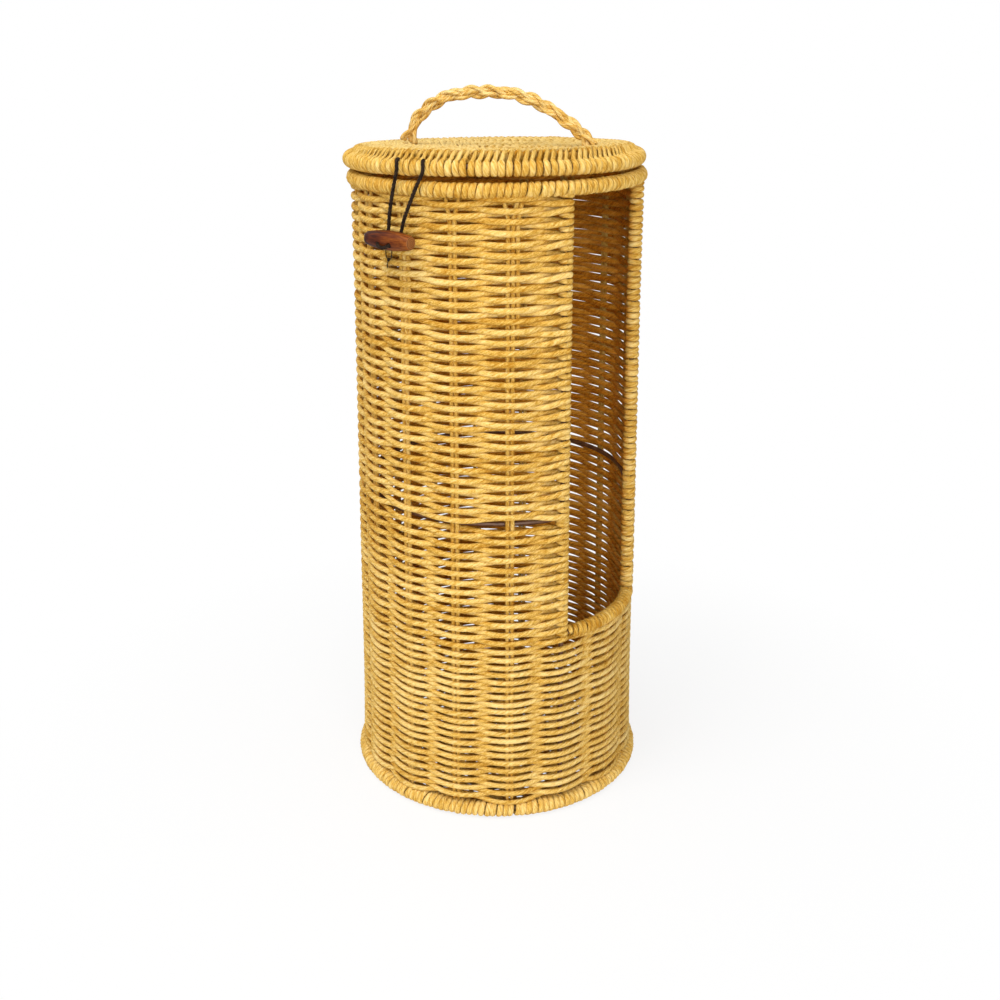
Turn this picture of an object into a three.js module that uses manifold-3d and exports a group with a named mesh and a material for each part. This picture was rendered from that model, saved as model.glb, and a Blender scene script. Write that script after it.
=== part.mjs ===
// Tall round basket for toilet rolls, woven from paper rope on a wire frame, with a tall window
// in one side, a lid hinged at the back and a wooden toggle that keeps the lid shut.
// Millimetres, +Z up. The origin is the middle of the underside of the base. The toggle faces -Y,
// the hinge +Y and the window +X. An azimuth is in degrees from -Y, turning towards +X.

import * as THREE from "three";
import { mergeVertices } from "three/addons/utils/BufferGeometryUtils.js";
import Module from "manifold-3d";

const wasm = await Module();
wasm.setup();

// Room left between two pieces that touch on the real basket, and a little more where a faceted
// hole is narrower across its flats
const GAP = 0.3;
const FACET_ROOM = 0.05;

// HEIGHT is that of the lid rim's crest at the front, where the lid stands a little open. At the
// back it rests on the top rim.
// Wall: upright stakes in pairs, with rope woven in front of one pair and behind the next
const HEIGHT = 380;
const STAKE_RADIUS = 79;
const STAKE_STRAND = 2.7;
const STAKE_PAIR_OVERLAP = 0.2;
const WEFT_STRAND = 2.6;
const WEFT_LIFT = 2.4;
const BACK_STAKES = 13;

// Wire frame
const WIRE = 2.8;
const POST_WIRE = 3;

// Wrapped rims: the section of the rope wound round each hoop, and how far outside the stakes'
// circle its middle lies
const BASE_RIM_TUBE = 8.6;
const BASE_RIM_OUTSET = 1.7;
const FOOT_FLAT = 0.5;
const TOP_RIM_TUBE = 8.4;
const TOP_RIM_OUTSET = 1.4;
const LID_RIM_TUBE = 8.8;
const LID_RIM_OUTSET = 1.6;
const LID_LIFT = 2.5;
const SLOT_ROOM = 0.4;

// Window
const WINDOW_AZIMUTH = 90;
const WINDOW_HALF_ANGLE = 26.5;
const SILL_HEIGHT = 118;
const SILL_TUBE = 8.4;
const POST_WRAP = 7.5;

// Mid hoop
const MID_HOOP_HEIGHT = 185.4;

// Woven discs of the base and the lid, with their spokes let in flush
const BASE_THICKNESS = 5.2;
const LID_THICKNESS = 5.2;
const LID_PANEL_RISE = 1.5;
const SPOKES = 16;
const SPOKE_WIDTH = 3;
const SPOKE_THICKNESS = 2.6;
const SPOKE_HUB_RADIUS = 12;

// Handle: a stiff rope arch across the lid, listed from foot to foot as distance along it and
// height over the lid rim's crest
const HANDLE_ROPE = 7.6;
const HANDLE_AZIMUTH = 109;
const HANDLE_CENTRE = [-3.5, 4];
const HANDLE_FOOT_RADIUS = 6.4;
const HANDLE_FOOT_HEIGHT = 7;
const HANDLE_ROUTE = [
  [-51.4, 4.9],
  [-49.6, 10.2],
  [-45, 16.3],
  [-36.3, 23.1],
  [-28.3, 26.8],
  [-17.4, 29],
  [-6, 29.8],
  [7.3, 29.1],
  [17.1, 26.7],
  [27, 22.4],
  [37, 16.8],
  [46.6, 10],
  [52.6, 5.1],
];

// Hinge ties: rope lashed round the lid rim and the top rim at the back
const TIE_AZIMUTH = 10.5;
const TIE_WIDTH = 8;
const TIE_THICKNESS = 2.2;
const TIE_ROOM = 0.45;

// Toggle, hanging below the lid's top, and its cord. Each hole runs from the upper back of the
// barrel to the lower front, and its ends are given in degrees above and below the middle, and
// as distances along the barrel.
const TOGGLE_AZIMUTH = -2.7;
const TOGGLE_DROP = 42.9;
const TOGGLE_LENGTH = 31;
const TOGGLE_DIAMETER = 10.4;
const TOGGLE_END_DIAMETER = 6.8;
const TOGGLE_HOLE_RISE = 40;
const TOGGLE_HOLE_DROP = 7;
const TOGGLE_HOLES_BACK = [-4.6, 4.6];
const TOGGLE_HOLES_FRONT = [-3.9, 3.9];
const CORD = 2.1;
const CORD_ROOTS = [0.2, 10.9];
const CORD_ROOT_SWEEP = 105;

// Catch thread on the wall, behind and below the toggle, listed as azimuth and height over the
// toggle's middle
const THREAD = 0.8;
const KNOT = 1.8;
const THREAD_TAIL = [
  [-8.6, -16.3],
  [-8.5, -14],
  [-7.6, -11.6],
];
const THREAD_LOOP = [
  [-7.6, -11.6],
  [-8.6, -10.4],
  [-8.9, -7],
  [-8.4, -2],
  [-7.1, 0.8],
  [-5.8, -2],
  [-5.4, -7],
  [-6.3, -10.4],
  [-7.6, -11.6],
];

// Facets
const RING_STEPS = 40;
const RIM_ARC_STEPS = 9;
const SLOT_ARC_STEPS = 4;
const WIRE_SIDES = 6;
const BAY_STEPS = 6;
const TUBE_SIDES = 8;

// Sizes that follow from the ones above
const stakeHalfDepth = STAKE_STRAND / 2;
const stakePairPitch = STAKE_STRAND - STAKE_PAIR_OVERLAP;
const baseRimRadius = STAKE_RADIUS + BASE_RIM_OUTSET;
const topRimRadius = STAKE_RADIUS + TOP_RIM_OUTSET;
const lidRimRadius = STAKE_RADIUS + LID_RIM_OUTSET;
const wallHalf = WEFT_STRAND / 2;
const baseRimHeight = BASE_RIM_TUBE / 2 - FOOT_FLAT;
const baseRimTop = baseRimHeight + BASE_RIM_TUBE / 2;
const lidRock = LID_LIFT - GAP;
const lidFrontHeight = HEIGHT - LID_RIM_TUBE / 2;
const lidBackHeight = lidFrontHeight - lidRock;
const lidRimHeight = lidFrontHeight - lidRock / 2;
const lidTilt = Math.atan(lidRock / (2 * lidRimRadius));
const topRimHeight = HEIGHT - LID_RIM_TUBE - LID_LIFT - TOP_RIM_TUBE / 2;
const topRimBottom = topRimHeight - TOP_RIM_TUBE / 2;
const slotHalf = WIRE / 2 + SLOT_ROOM;
const baseHoopHeight = FOOT_FLAT + slotHalf + 1;
const topHoopHeight = topRimHeight + GAP;
const stakeBottom = baseHoopHeight + WIRE / 2 + GAP;
const stakeTop = topHoopHeight - WIRE / 2 - GAP;
const wallBottom = baseRimTop + GAP;
const wallTop = topRimBottom - GAP;
const sillBottom = SILL_HEIGHT - SILL_TUBE / 2;
const lowerWallTop = sillBottom - GAP;
const midGapBottom = MID_HOOP_HEIGHT - WIRE / 2 - GAP;
const midGapTop = MID_HOOP_HEIGHT + WIRE / 2 + GAP;
const midHoopRadius = STAKE_RADIUS - stakeHalfDepth - GAP - WIRE / 2;
const postLeft = WINDOW_AZIMUTH - WINDOW_HALF_ANGLE;
const postRight = WINDOW_AZIMUTH + WINDOW_HALF_ANGLE;
const postClearance = POST_WRAP / 2 + GAP;
const postInset = THREE.MathUtils.radToDeg(postClearance / STAKE_RADIUS);
const backBay = (360 - 2 * WINDOW_HALF_ANGLE) / (BACK_STAKES + 1);
const lidCrest = lidRimHeight + LID_RIM_TUBE / 2;
const lidPanelTop = lidCrest + LID_PANEL_RISE;
const lidPanelRadius = lidRimRadius - LID_RIM_TUBE / 2 - GAP;
const basePanelRadius = baseRimRadius - BASE_RIM_TUBE / 2 - GAP;
const handleFloor = lidPanelTop + GAP;
const toggleHeight = HEIGHT - TOGGLE_DROP;
const cordRootRadius = LID_RIM_TUBE / 2 + GAP + CORD / 2;

const ROPE = { color: 0xe0bd6c, roughness: 0.85, metalness: 0 };
const ROPE_DARK = { color: 0xb98d45, roughness: 0.88, metalness: 0 };
const WIRE_BROWN = { color: 0x4a2f1c, roughness: 0.55, metalness: 0.6 };
const CORD_BROWN = { color: 0x2c1b12, roughness: 0.8, metalness: 0 };
const TOGGLE_WOOD = { color: 0x8a3f1c, roughness: 0.45, metalness: 0 };

const radians = THREE.MathUtils.degToRad;

// The point at a radius, an azimuth and a height
function polar(radius, azimuth, height = 0) {
  const turn = radians(azimuth);
  return new THREE.Vector3(radius * Math.sin(turn), -radius * Math.cos(turn), height);
}

// Merges a geometry's vertices into one closed shell and turns its faces outwards
function closedShell(geometry) {
  const bare = geometry.index ? geometry.toNonIndexed() : geometry.clone();
  bare.deleteAttribute("normal");
  bare.deleteAttribute("uv");
  const merged = mergeVertices(bare, 1e-4);
  const places = merged.getAttribute("position");
  const corners = Array.from(merged.index.array);
  const kept = [];
  let volume = 0;
  const a = new THREE.Vector3();
  const b = new THREE.Vector3();
  const c = new THREE.Vector3();
  for (let i = 0; i < corners.length; i += 3) {
    const [p, q, r] = corners.slice(i, i + 3);
    if (p === q || q === r || p === r) continue;
    kept.push(p, q, r);
    a.fromBufferAttribute(places, p);
    b.fromBufferAttribute(places, q);
    c.fromBufferAttribute(places, r);
    volume += a.dot(b.cross(c));
  }
  if (volume < 0) kept.reverse();
  merged.setIndex(kept);
  return merged;
}

function toManifold(geometry) {
  const shell = closedShell(geometry);
  return new wasm.Manifold(
    new wasm.Mesh({
      numProp: 3,
      vertProperties: new Float32Array(shell.getAttribute("position").array),
      triVerts: new Uint32Array(shell.index.array),
    }),
  );
}

function fromManifold(solid) {
  const mesh = solid.getMesh();
  const geometry = new THREE.BufferGeometry();
  const places = new THREE.BufferAttribute(new Float32Array(mesh.vertProperties), 3);
  geometry.setAttribute("position", places);
  geometry.setIndex(Array.from(mesh.triVerts));
  return geometry;
}

function join(...geometries) {
  return fromManifold(geometries.map(toManifold).reduce((sum, one) => sum.add(one)));
}

function cut(geometry, ...tools) {
  const whole = toManifold(geometry);
  return fromManifold(tools.map(toManifold).reduce((rest, one) => rest.subtract(one), whole));
}

function sub(name, geometry, finish) {
  const shell = closedShell(geometry);
  shell.computeVertexNormals();
  const mesh = new THREE.Mesh(shell, new THREE.MeshStandardMaterial(finish));
  mesh.name = name;
  return mesh;
}

// Corners of a round section, the first one at a share of a step past the first axis
function circle(radius, sides, share = 0) {
  const corners = [];
  for (let i = 0; i < sides; i += 1) {
    const turn = (2 * Math.PI * (i + share)) / sides;
    corners.push(new THREE.Vector2(radius * Math.cos(turn), radius * Math.sin(turn)));
  }
  return corners;
}

// Turns a closed section, given as [radius, height] pairs, round the Z axis
function turned(section, steps = RING_STEPS) {
  const points = section.map(([radius, height]) => new THREE.Vector2(radius, height));
  points.push(points[0].clone());
  return new THREE.LatheGeometry(points, steps).rotateX(Math.PI / 2);
}

function upright(outline, bottom, top, holes = []) {
  const ordered = THREE.ShapeUtils.isClockWise(outline) ? outline.toReversed() : outline;
  const shape = new THREE.Shape(ordered);
  for (const hole of holes) shape.holes.push(new THREE.Path(hole));
  const depth = top - bottom;
  const geometry = new THREE.ExtrudeGeometry(shape, { depth, bevelEnabled: false, steps: 1 });
  return geometry.translate(0, 0, bottom);
}

function tube(points, diameter, steps, sides = TUBE_SIDES) {
  const extrudePath = new THREE.CatmullRomCurve3(points, false, "centripetal");
  const shape = new THREE.Shape(circle(diameter / 2, sides));
  return new THREE.ExtrudeGeometry(shape, { extrudePath, steps, bevelEnabled: false });
}

// A level arc of round wire, with an optional bore that makes it a sleeve
function levelArc(radius, height, from, to, diameter, bore, steps, sides) {
  const ends = [];
  for (let i = 0; i <= steps; i += 1) {
    ends.push(polar(radius, from + ((to - from) * i) / steps, height));
  }
  const extrudePath = new THREE.CatmullRomCurve3(ends, false, "centripetal");
  const shape = new THREE.Shape(circle(diameter / 2, sides));
  if (bore > 0) shape.holes.push(new THREE.Path(circle(bore / 2, sides, 0.5)));
  return new THREE.ExtrudeGeometry(shape, { extrudePath, steps, bevelEnabled: false });
}

function hoop(radius, height) {
  const section = circle(WIRE / 2, WIRE_SIDES).map(({ x, y }) => [radius + x, height + y]);
  return turned(section);
}

// Section of a wrapped rim: a round tube with a slot in it for the hoop and the stakes. The slot
// runs from the wire, at the depth given, out through the side that the map turns it to.
function rimSection(tubeRadius, slotOffset, wireDepth, map) {
  const points = [];
  const high = slotOffset + slotHalf;
  const low = slotOffset - slotHalf;
  const start = Math.atan2(high, Math.sqrt(tubeRadius ** 2 - high ** 2));
  const end = 2 * Math.PI + Math.atan2(low, Math.sqrt(tubeRadius ** 2 - low ** 2));
  for (let i = 0; i <= RIM_ARC_STEPS; i += 1) {
    const turn = start + ((end - start) * i) / RIM_ARC_STEPS;
    points.push([tubeRadius * Math.cos(turn), tubeRadius * Math.sin(turn)]);
  }
  for (let i = 0; i <= SLOT_ARC_STEPS; i += 1) {
    const turn = -Math.PI / 2 - (Math.PI * i) / SLOT_ARC_STEPS;
    const along = wireDepth + slotHalf * Math.cos(turn);
    points.push([along, slotOffset + slotHalf * Math.sin(turn)]);
  }
  return points.map(([along, across]) => map(along, across));
}

function baseRim() {
  const map = (along, across) => [
    baseRimRadius + across,
    Math.max(0, baseRimHeight + along),
  ];
  const offset = STAKE_RADIUS - baseRimRadius;
  return turned(rimSection(BASE_RIM_TUBE / 2, offset, baseHoopHeight - baseRimHeight, map));
}

function topRim() {
  const map = (along, across) => [topRimRadius + across, topRimHeight - along];
  const offset = STAKE_RADIUS - topRimRadius;
  return turned(rimSection(TOP_RIM_TUBE / 2, offset, topRimHeight - topHoopHeight, map));
}

// Tips a piece of the lid, built level, so that its front stands up and its back rests on the rim
function tipped(geometry) {
  geometry.translate(0, 0, -lidRimHeight);
  return geometry.rotateX(-lidTilt).translate(0, 0, lidRimHeight);
}

function lidRim() {
  const map = (along, across) => [lidRimRadius - along, lidRimHeight + across];
  return turned(rimSection(LID_RIM_TUBE / 2, 0, 0, map));
}

// Stakes: azimuths of the window's two posts, its middle stake and the stakes behind
function backStakeAzimuths() {
  const azimuths = [];
  for (let i = 1; i <= BACK_STAKES; i += 1) azimuths.push(postRight + backBay * i);
  return azimuths;
}

const stakeAzimuths = [
  postLeft,
  WINDOW_AZIMUTH,
  postRight,
  ...backStakeAzimuths(),
  postLeft + 360,
];

// How far the weave stands out from the stakes' circle at an azimuth: fullest over a stake, and
// one strand thick halfway to the next, where the rows cross
function weaveReach(azimuth) {
  const turned360 = ((azimuth - postLeft) % 360 + 360) % 360 + postLeft;
  const next = stakeAzimuths.findIndex((stake) => stake > turned360 + 1e-9);
  const before = stakeAzimuths[Math.max(0, next - 1)];
  const share = next < 1 ? 0 : (turned360 - before) / (stakeAzimuths[next] - before);
  return wallHalf + WEFT_LIFT * Math.abs(Math.cos(Math.PI * share));
}

function stakeSection() {
  const waist = Math.acos(stakePairPitch / STAKE_STRAND);
  const corners = [];
  for (const side of [0, Math.PI]) {
    const centre = (Math.cos(side) * stakePairPitch) / 2;
    for (let i = 0; i < TUBE_SIDES / 2 + 1; i += 1) {
      const from = -Math.PI + waist;
      const turn = side + from + ((-2 * from) * i) / (TUBE_SIDES / 2 + 1);
      const x = centre + stakeHalfDepth * Math.cos(turn);
      corners.push(new THREE.Vector2(x, stakeHalfDepth * Math.sin(turn)));
    }
  }
  return corners;
}

// Hole that a stake pair passes through, at an azimuth of the wall
function stakeChannel(azimuth) {
  const halfDepth = stakeHalfDepth + GAP;
  const halfWidth = (stakePairPitch + STAKE_STRAND) / 2 + GAP;
  const shoulder = halfDepth / 2;
  const corners = [
    [halfWidth, -shoulder],
    [halfWidth, shoulder],
    [halfWidth - shoulder, halfDepth],
    [shoulder - halfWidth, halfDepth],
    [-halfWidth, shoulder],
    [-halfWidth, -shoulder],
    [shoulder - halfWidth, -halfDepth],
    [halfWidth - shoulder, -halfDepth],
  ];
  return placedOutline(corners, azimuth);
}

function postChannel(azimuth) {
  const radius = POST_WIRE / 2 + GAP + FACET_ROOM;
  const corners = circle(radius, TUBE_SIDES, 0.4).map(({ x, y }) => [x, y]);
  return placedOutline(corners, azimuth);
}

// Moves an outline drawn as [along the wall, outwards] to its azimuth on the stakes' circle
function placedOutline(corners, azimuth) {
  const turn = radians(azimuth);
  return corners.map(([along, out]) => {
    const radius = STAKE_RADIUS + out;
    const x = radius * Math.sin(turn) + along * Math.cos(turn);
    const y = -radius * Math.cos(turn) + along * Math.sin(turn);
    return new THREE.Vector2(x, y);
  });
}

function wallPoint(azimuth, side) {
  const at = polar(STAKE_RADIUS + side * weaveReach(azimuth), azimuth);
  return new THREE.Vector2(at.x, at.y);
}

function ringOutline(side) {
  const outline = [];
  for (let bay = 0; bay + 1 < stakeAzimuths.length; bay += 1) {
    const width = stakeAzimuths[bay + 1] - stakeAzimuths[bay];
    for (let i = 0; i < BAY_STEPS; i += 1) {
      outline.push(wallPoint(stakeAzimuths[bay] + (width * i) / BAY_STEPS, side));
    }
  }
  return outline;
}

function openOutline() {
  const from = postRight + postInset;
  const to = postLeft + 360 - postInset;
  const outer = [];
  const inner = [];
  const steps = BAY_STEPS * (BACK_STAKES + 1);
  for (let i = 0; i <= steps; i += 1) {
    const whole = postRight + (backBay * i) / BAY_STEPS;
    const azimuth = Math.min(Math.max(whole, from), to);
    outer.push(wallPoint(azimuth, 1));
    inner.unshift(wallPoint(azimuth, -1));
  }
  return [...outer, ...inner];
}

function lowerWall() {
  const channels = stakeAzimuths
    .slice(0, -1)
    .map((azimuth) => (azimuth === postLeft || azimuth === postRight
      ? postChannel(azimuth)
      : stakeChannel(azimuth)));
  return upright(ringOutline(1), wallBottom, lowerWallTop, [ringOutline(-1), ...channels]);
}

function openWall(bottom, top) {
  return upright(openOutline(), bottom, top, backStakeAzimuths().map(stakeChannel));
}

// Slot for a hinge tie, cut where the tie passes through the weave
function tieSlot(azimuth, inner, outer, bottom, top) {
  const slot = new THREE.BoxGeometry(TIE_WIDTH + 2 * GAP, outer - inner, top - bottom);
  slot.translate(0, -(inner + outer) / 2, (bottom + top) / 2);
  return slot.rotateZ(radians(azimuth));
}

const tieAzimuths = [180 - TIE_AZIMUTH, 180 + TIE_AZIMUTH];
const tieRadius = (lidRimRadius + topRimRadius) / 2;
const tieInner = Math.max(LID_RIM_TUBE, TOP_RIM_TUBE) / 2 + TIE_ROOM;
const tieOuter = tieInner + TIE_THICKNESS;

function upperWall() {
  const depth = topRimHeight - tieOuter - GAP;
  const slots = tieAzimuths.map((azimuth) =>
    tieSlot(azimuth, tieRadius - 2 * tieOuter, tieRadius + 2 * tieOuter, depth, wallTop + 1));
  return cut(openWall(midGapTop, wallTop), ...slots);
}

// One lashing: a flat ring of rope round both rims, drawn as [outwards, up]
function tieOutline(half) {
  const corners = [];
  for (const [height, from] of [[topRimHeight, Math.PI], [lidBackHeight, 0]]) {
    for (let i = 0; i <= TUBE_SIDES; i += 1) {
      const turn = from + (Math.PI * i) / TUBE_SIDES;
      corners.push(new THREE.Vector2(half * Math.cos(turn), height + half * Math.sin(turn)));
    }
  }
  return corners;
}

function hingeTie(azimuth) {
  const ring = upright(tieOutline(tieOuter), -TIE_WIDTH / 2, TIE_WIDTH / 2, [tieOutline(tieInner)]);
  ring.rotateX(Math.PI / 2).rotateZ(-Math.PI / 2).translate(0, -tieRadius, 0);
  return ring.rotateZ(radians(azimuth));
}

// Spokes of a woven disc: a flat star of strips that meet in the middle
function starOutline(radius, halfWidth, hub) {
  const corners = [];
  for (let i = 0; i < SPOKES; i += 1) {
    const turn = (2 * Math.PI * i) / SPOKES;
    const along = new THREE.Vector2(Math.sin(turn), -Math.cos(turn));
    const across = new THREE.Vector2(Math.cos(turn), Math.sin(turn));
    for (const [reach, side] of [[hub, -1], [radius, -1], [radius, 1], [hub, 1]]) {
      const corner = along.clone().multiplyScalar(reach);
      corners.push(corner.addScaledVector(across, side * halfWidth));
    }
  }
  return corners;
}

function spokes(radius, bottom) {
  const outline = starOutline(radius, SPOKE_WIDTH / 2, SPOKE_HUB_RADIUS);
  return upright(outline, bottom, bottom + SPOKE_THICKNESS);
}

function disc(radius, bottom, top) {
  const rounding = (top - bottom) / 6;
  return turned([
    [0, bottom],
    [radius - rounding, bottom],
    [radius, bottom + rounding],
    [radius, top - rounding],
    [radius - rounding, top],
    [0, top],
  ]);
}

function spokeGrooves(bottom, top, reach) {
  return upright(starOutline(reach, SPOKE_WIDTH / 2 + GAP, SPOKE_HUB_RADIUS + GAP), bottom, top);
}

function basePanel() {
  const grooveBottom = BASE_THICKNESS - SPOKE_THICKNESS - GAP;
  const grooves = spokeGrooves(grooveBottom, BASE_THICKNESS + 1, basePanelRadius + 1);
  return cut(disc(basePanelRadius, 0, BASE_THICKNESS), grooves);
}

function lidPanel() {
  const bottom = lidPanelTop - LID_THICKNESS;
  const grooves = spokeGrooves(bottom - 1, bottom + SPOKE_THICKNESS + GAP, lidPanelRadius + 1);
  const slots = tieAzimuths.map((azimuth) =>
    tieSlot(azimuth, tieRadius - tieOuter - GAP, lidPanelRadius + 1, bottom - 1, lidPanelTop + 1));
  return cut(disc(lidPanelRadius, bottom, lidPanelTop), grooves, ...slots);
}

// Handle
function handlePoint([along, up]) {
  const turn = radians(HANDLE_AZIMUTH);
  const x = HANDLE_CENTRE[0] + along * Math.sin(turn);
  const y = HANDLE_CENTRE[1] - along * Math.cos(turn);
  return new THREE.Vector3(x, y, lidCrest + up);
}

function handleFoot(end) {
  const { x, y } = handlePoint(end);
  const top = handleFloor + HANDLE_FOOT_HEIGHT;
  const foot = turned(
    [
      [0, handleFloor],
      [HANDLE_FOOT_RADIUS, handleFloor],
      [HANDLE_ROPE * 0.6, handleFloor + HANDLE_FOOT_HEIGHT * 0.5],
      [HANDLE_ROPE * 0.5, top],
      [0, top],
    ],
    12,
  );
  return foot.translate(x, y, 0);
}

function handle() {
  const rope = tube(HANDLE_ROUTE.map(handlePoint), HANDLE_ROPE, 24);
  return join(rope, handleFoot(HANDLE_ROUTE[0]), handleFoot(HANDLE_ROUTE.at(-1)));
}

// Toggle, drawn in its own frame as [along its length, outwards, up] from its middle
const toggleRadius = STAKE_RADIUS + wallHalf + WEFT_LIFT + GAP + THREAD + GAP + TOGGLE_DIAMETER / 2;

function atToggle(along, outwards, up) {
  const middle = polar(toggleRadius + outwards, TOGGLE_AZIMUTH, toggleHeight + up);
  const turn = radians(TOGGLE_AZIMUTH);
  return middle.add(new THREE.Vector3(along * Math.cos(turn), along * Math.sin(turn), 0));
}

// A place on the line of a hole through the toggle: 0 where it enters at the back and 1 where it
// comes out in front, with a distance past that end where one is given
function inHole(index, share, past = 0) {
  const half = TOGGLE_DIAMETER / 2;
  const rise = radians(TOGGLE_HOLE_RISE);
  const drop = radians(TOGGLE_HOLE_DROP);
  const back = [TOGGLE_HOLES_BACK[index], -half * Math.cos(rise), half * Math.sin(rise)];
  const front = [TOGGLE_HOLES_FRONT[index], half * Math.cos(drop), -half * Math.sin(drop)];
  const length = Math.hypot(...front.map((value, axis) => value - back[axis]));
  const reach = share + past / length;
  return atToggle(...back.map((value, axis) => value + reach * (front[axis] - value)));
}

function rod(from, to, diameter) {
  const axis = to.clone().sub(from);
  const length = axis.length();
  const geometry = new THREE.CylinderGeometry(diameter / 2, diameter / 2, length, TUBE_SIDES);
  const turn = new THREE.Quaternion();
  turn.setFromUnitVectors(new THREE.Vector3(0, 1, 0), axis.normalize());
  const middle = from.clone().add(to).multiplyScalar(0.5);
  return geometry.applyQuaternion(turn).translate(middle.x, middle.y, middle.z);
}

function toggle() {
  const half = TOGGLE_LENGTH / 2;
  const thin = TOGGLE_END_DIAMETER / 2;
  const thick = TOGGLE_DIAMETER / 2;
  const section = [[0, -half]];
  for (let i = 0; i <= 8; i += 1) {
    const share = i / 4 - 1;
    const swell = thin + (thick - thin) * (1 - share * share);
    section.push([i === 0 || i === 8 ? swell - 0.6 : swell, share * half * 0.97]);
  }
  section.splice(1, 1, [thin - 0.6, -half], [thin, -half * 0.96]);
  section.splice(-1, 1, [thin, half * 0.96], [thin - 0.6, half]);
  section.push([0, half]);
  const barrel = turned(section, 14).rotateY(Math.PI / 2);
  const middle = polar(toggleRadius, TOGGLE_AZIMUTH, toggleHeight);
  barrel.rotateZ(radians(TOGGLE_AZIMUTH)).translate(middle.x, middle.y, middle.z);
  const holes = [0, 1].map((index) =>
    rod(inHole(index, 0, -thick), inHole(index, 1, thick), CORD + 3 * GAP));
  return cut(barrel, ...holes);
}

// Cord that the toggle hangs on. Its roots lie over the lid rim, and its hanging part goes down
// one leg, through both holes of the toggle and up the other leg.
const cordRim = lidRimRadius + cordRootRadius;

function cordRoot(azimuth) {
  const points = [];
  for (let i = 0; i <= 5; i += 1) {
    const turn = radians((CORD_ROOT_SWEEP * i) / 5);
    const radius = lidRimRadius + cordRootRadius * Math.cos(turn);
    points.push(polar(radius, azimuth, lidRimHeight + cordRootRadius * Math.sin(turn)));
  }
  return tube(points, CORD, 6);
}

function cordLeg(index) {
  const top = lidFrontHeight - GAP;
  const foot = inHole(index, 0);
  const footRadius = Math.hypot(foot.x, foot.y);
  const footAzimuth = THREE.MathUtils.radToDeg(Math.atan2(foot.x, -foot.y));
  const leg = (share, radius, height) =>
    polar(radius, THREE.MathUtils.lerp(CORD_ROOTS[index], footAzimuth, share), height);
  const drop = top - foot.z;
  return [
    leg(0, cordRim, top),
    leg(0, cordRim, top - CORD),
    leg(0.1, cordRim, top - 0.16 * drop),
    leg(0.3, cordRim, top - 0.32 * drop),
    leg(0.6, cordRim - 0.2, top - 0.58 * drop),
    leg(0.86, footRadius, top - 0.8 * drop),
    leg(0.98, footRadius - 0.5, top - 0.93 * drop),
    inHole(index, 0.06),
    inHole(index, 0.3),
    inHole(index, 0.7),
    inHole(index, 1, 0.2),
  ];
}

function closureCord() {
  const stitch = inHole(0, 1, CORD * 0.8).lerp(inHole(1, 1, CORD * 0.8), 0.5);
  return tube([...cordLeg(0), stitch, ...cordLeg(1).reverse()], CORD, 48);
}

// Catch thread: a thin loop and its tail, tied in a knot, lying on the wall
function onWall([azimuth, up]) {
  const radius = STAKE_RADIUS + weaveReach(azimuth) + GAP + THREAD / 2;
  return polar(radius, azimuth, toggleHeight + up);
}

function catchLoop() {
  const knotAt = onWall(THREAD_LOOP[0]);
  knotAt.add(polar((KNOT - THREAD) / 2, THREAD_LOOP[0][0]));
  const knot = new THREE.IcosahedronGeometry(KNOT / 2, 1).translate(knotAt.x, knotAt.y, knotAt.z);
  const loop = tube(THREAD_LOOP.map(onWall), THREAD, 24, 6);
  const tail = tube(THREAD_TAIL.map(onWall), THREAD, 4, 6);
  return join(knot, loop, tail);
}

// Pieces of the window
function postWrap(azimuth) {
  const outline = placedOutline(circle(POST_WRAP / 2, 10).map(({ x, y }) => [x, y]), azimuth);
  return upright(outline, lowerWallTop + GAP, wallTop, [postChannel(azimuth)]);
}

function post(azimuth) {
  const outline = circle(POST_WIRE / 2, TUBE_SIDES).map(({ x, y }) => [x, y]);
  return upright(placedOutline(outline, azimuth), stakeBottom, stakeTop);
}

function stake(azimuth, top) {
  const outline = stakeSection().map(({ x, y }) => [x, y]);
  return upright(placedOutline(outline, azimuth), stakeBottom, top);
}

function sillWire() {
  const from = postLeft + postInset;
  return levelArc(STAKE_RADIUS, SILL_HEIGHT, from, postRight - postInset, WIRE, 0, 8, WIRE_SIDES);
}

function sillWrap() {
  const from = postLeft + postInset;
  const to = postRight - postInset;
  return levelArc(STAKE_RADIUS, SILL_HEIGHT, from, to, SILL_TUBE, 2 * slotHalf, 8, 12);
}

function midHoop() {
  const inset = THREE.MathUtils.radToDeg(postClearance / midHoopRadius);
  const from = postRight + inset;
  const to = postLeft + 360 - inset;
  return levelArc(midHoopRadius, MID_HOOP_HEIGHT, from, to, WIRE, 0, RING_STEPS, WIRE_SIDES);
}

const basket = new THREE.Group();

basket.add(
  sub("base_panel", basePanel(), ROPE_DARK),
  sub("base_spokes", spokes(basePanelRadius, BASE_THICKNESS - SPOKE_THICKNESS), ROPE),
  sub("base_hoop", hoop(STAKE_RADIUS, baseHoopHeight), WIRE_BROWN),
  sub("base_rim_wrap", baseRim(), ROPE),
  sub("wall_lower", lowerWall(), ROPE),
  sub("wall_middle", openWall(lowerWallTop + GAP, midGapBottom), ROPE),
  sub("wall_upper", upperWall(), ROPE),
  sub("mid_hoop", midHoop(), WIRE_BROWN),
  sub("sill_wire", sillWire(), WIRE_BROWN),
  sub("sill_wrap", sillWrap(), ROPE),
  sub("window_post_left", post(postLeft), WIRE_BROWN),
  sub("window_post_right", post(postRight), WIRE_BROWN),
  sub("post_wrap_left", postWrap(postLeft), ROPE),
  sub("post_wrap_right", postWrap(postRight), ROPE),
  sub("window_stake", stake(WINDOW_AZIMUTH, lowerWallTop), ROPE_DARK),
);

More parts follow.
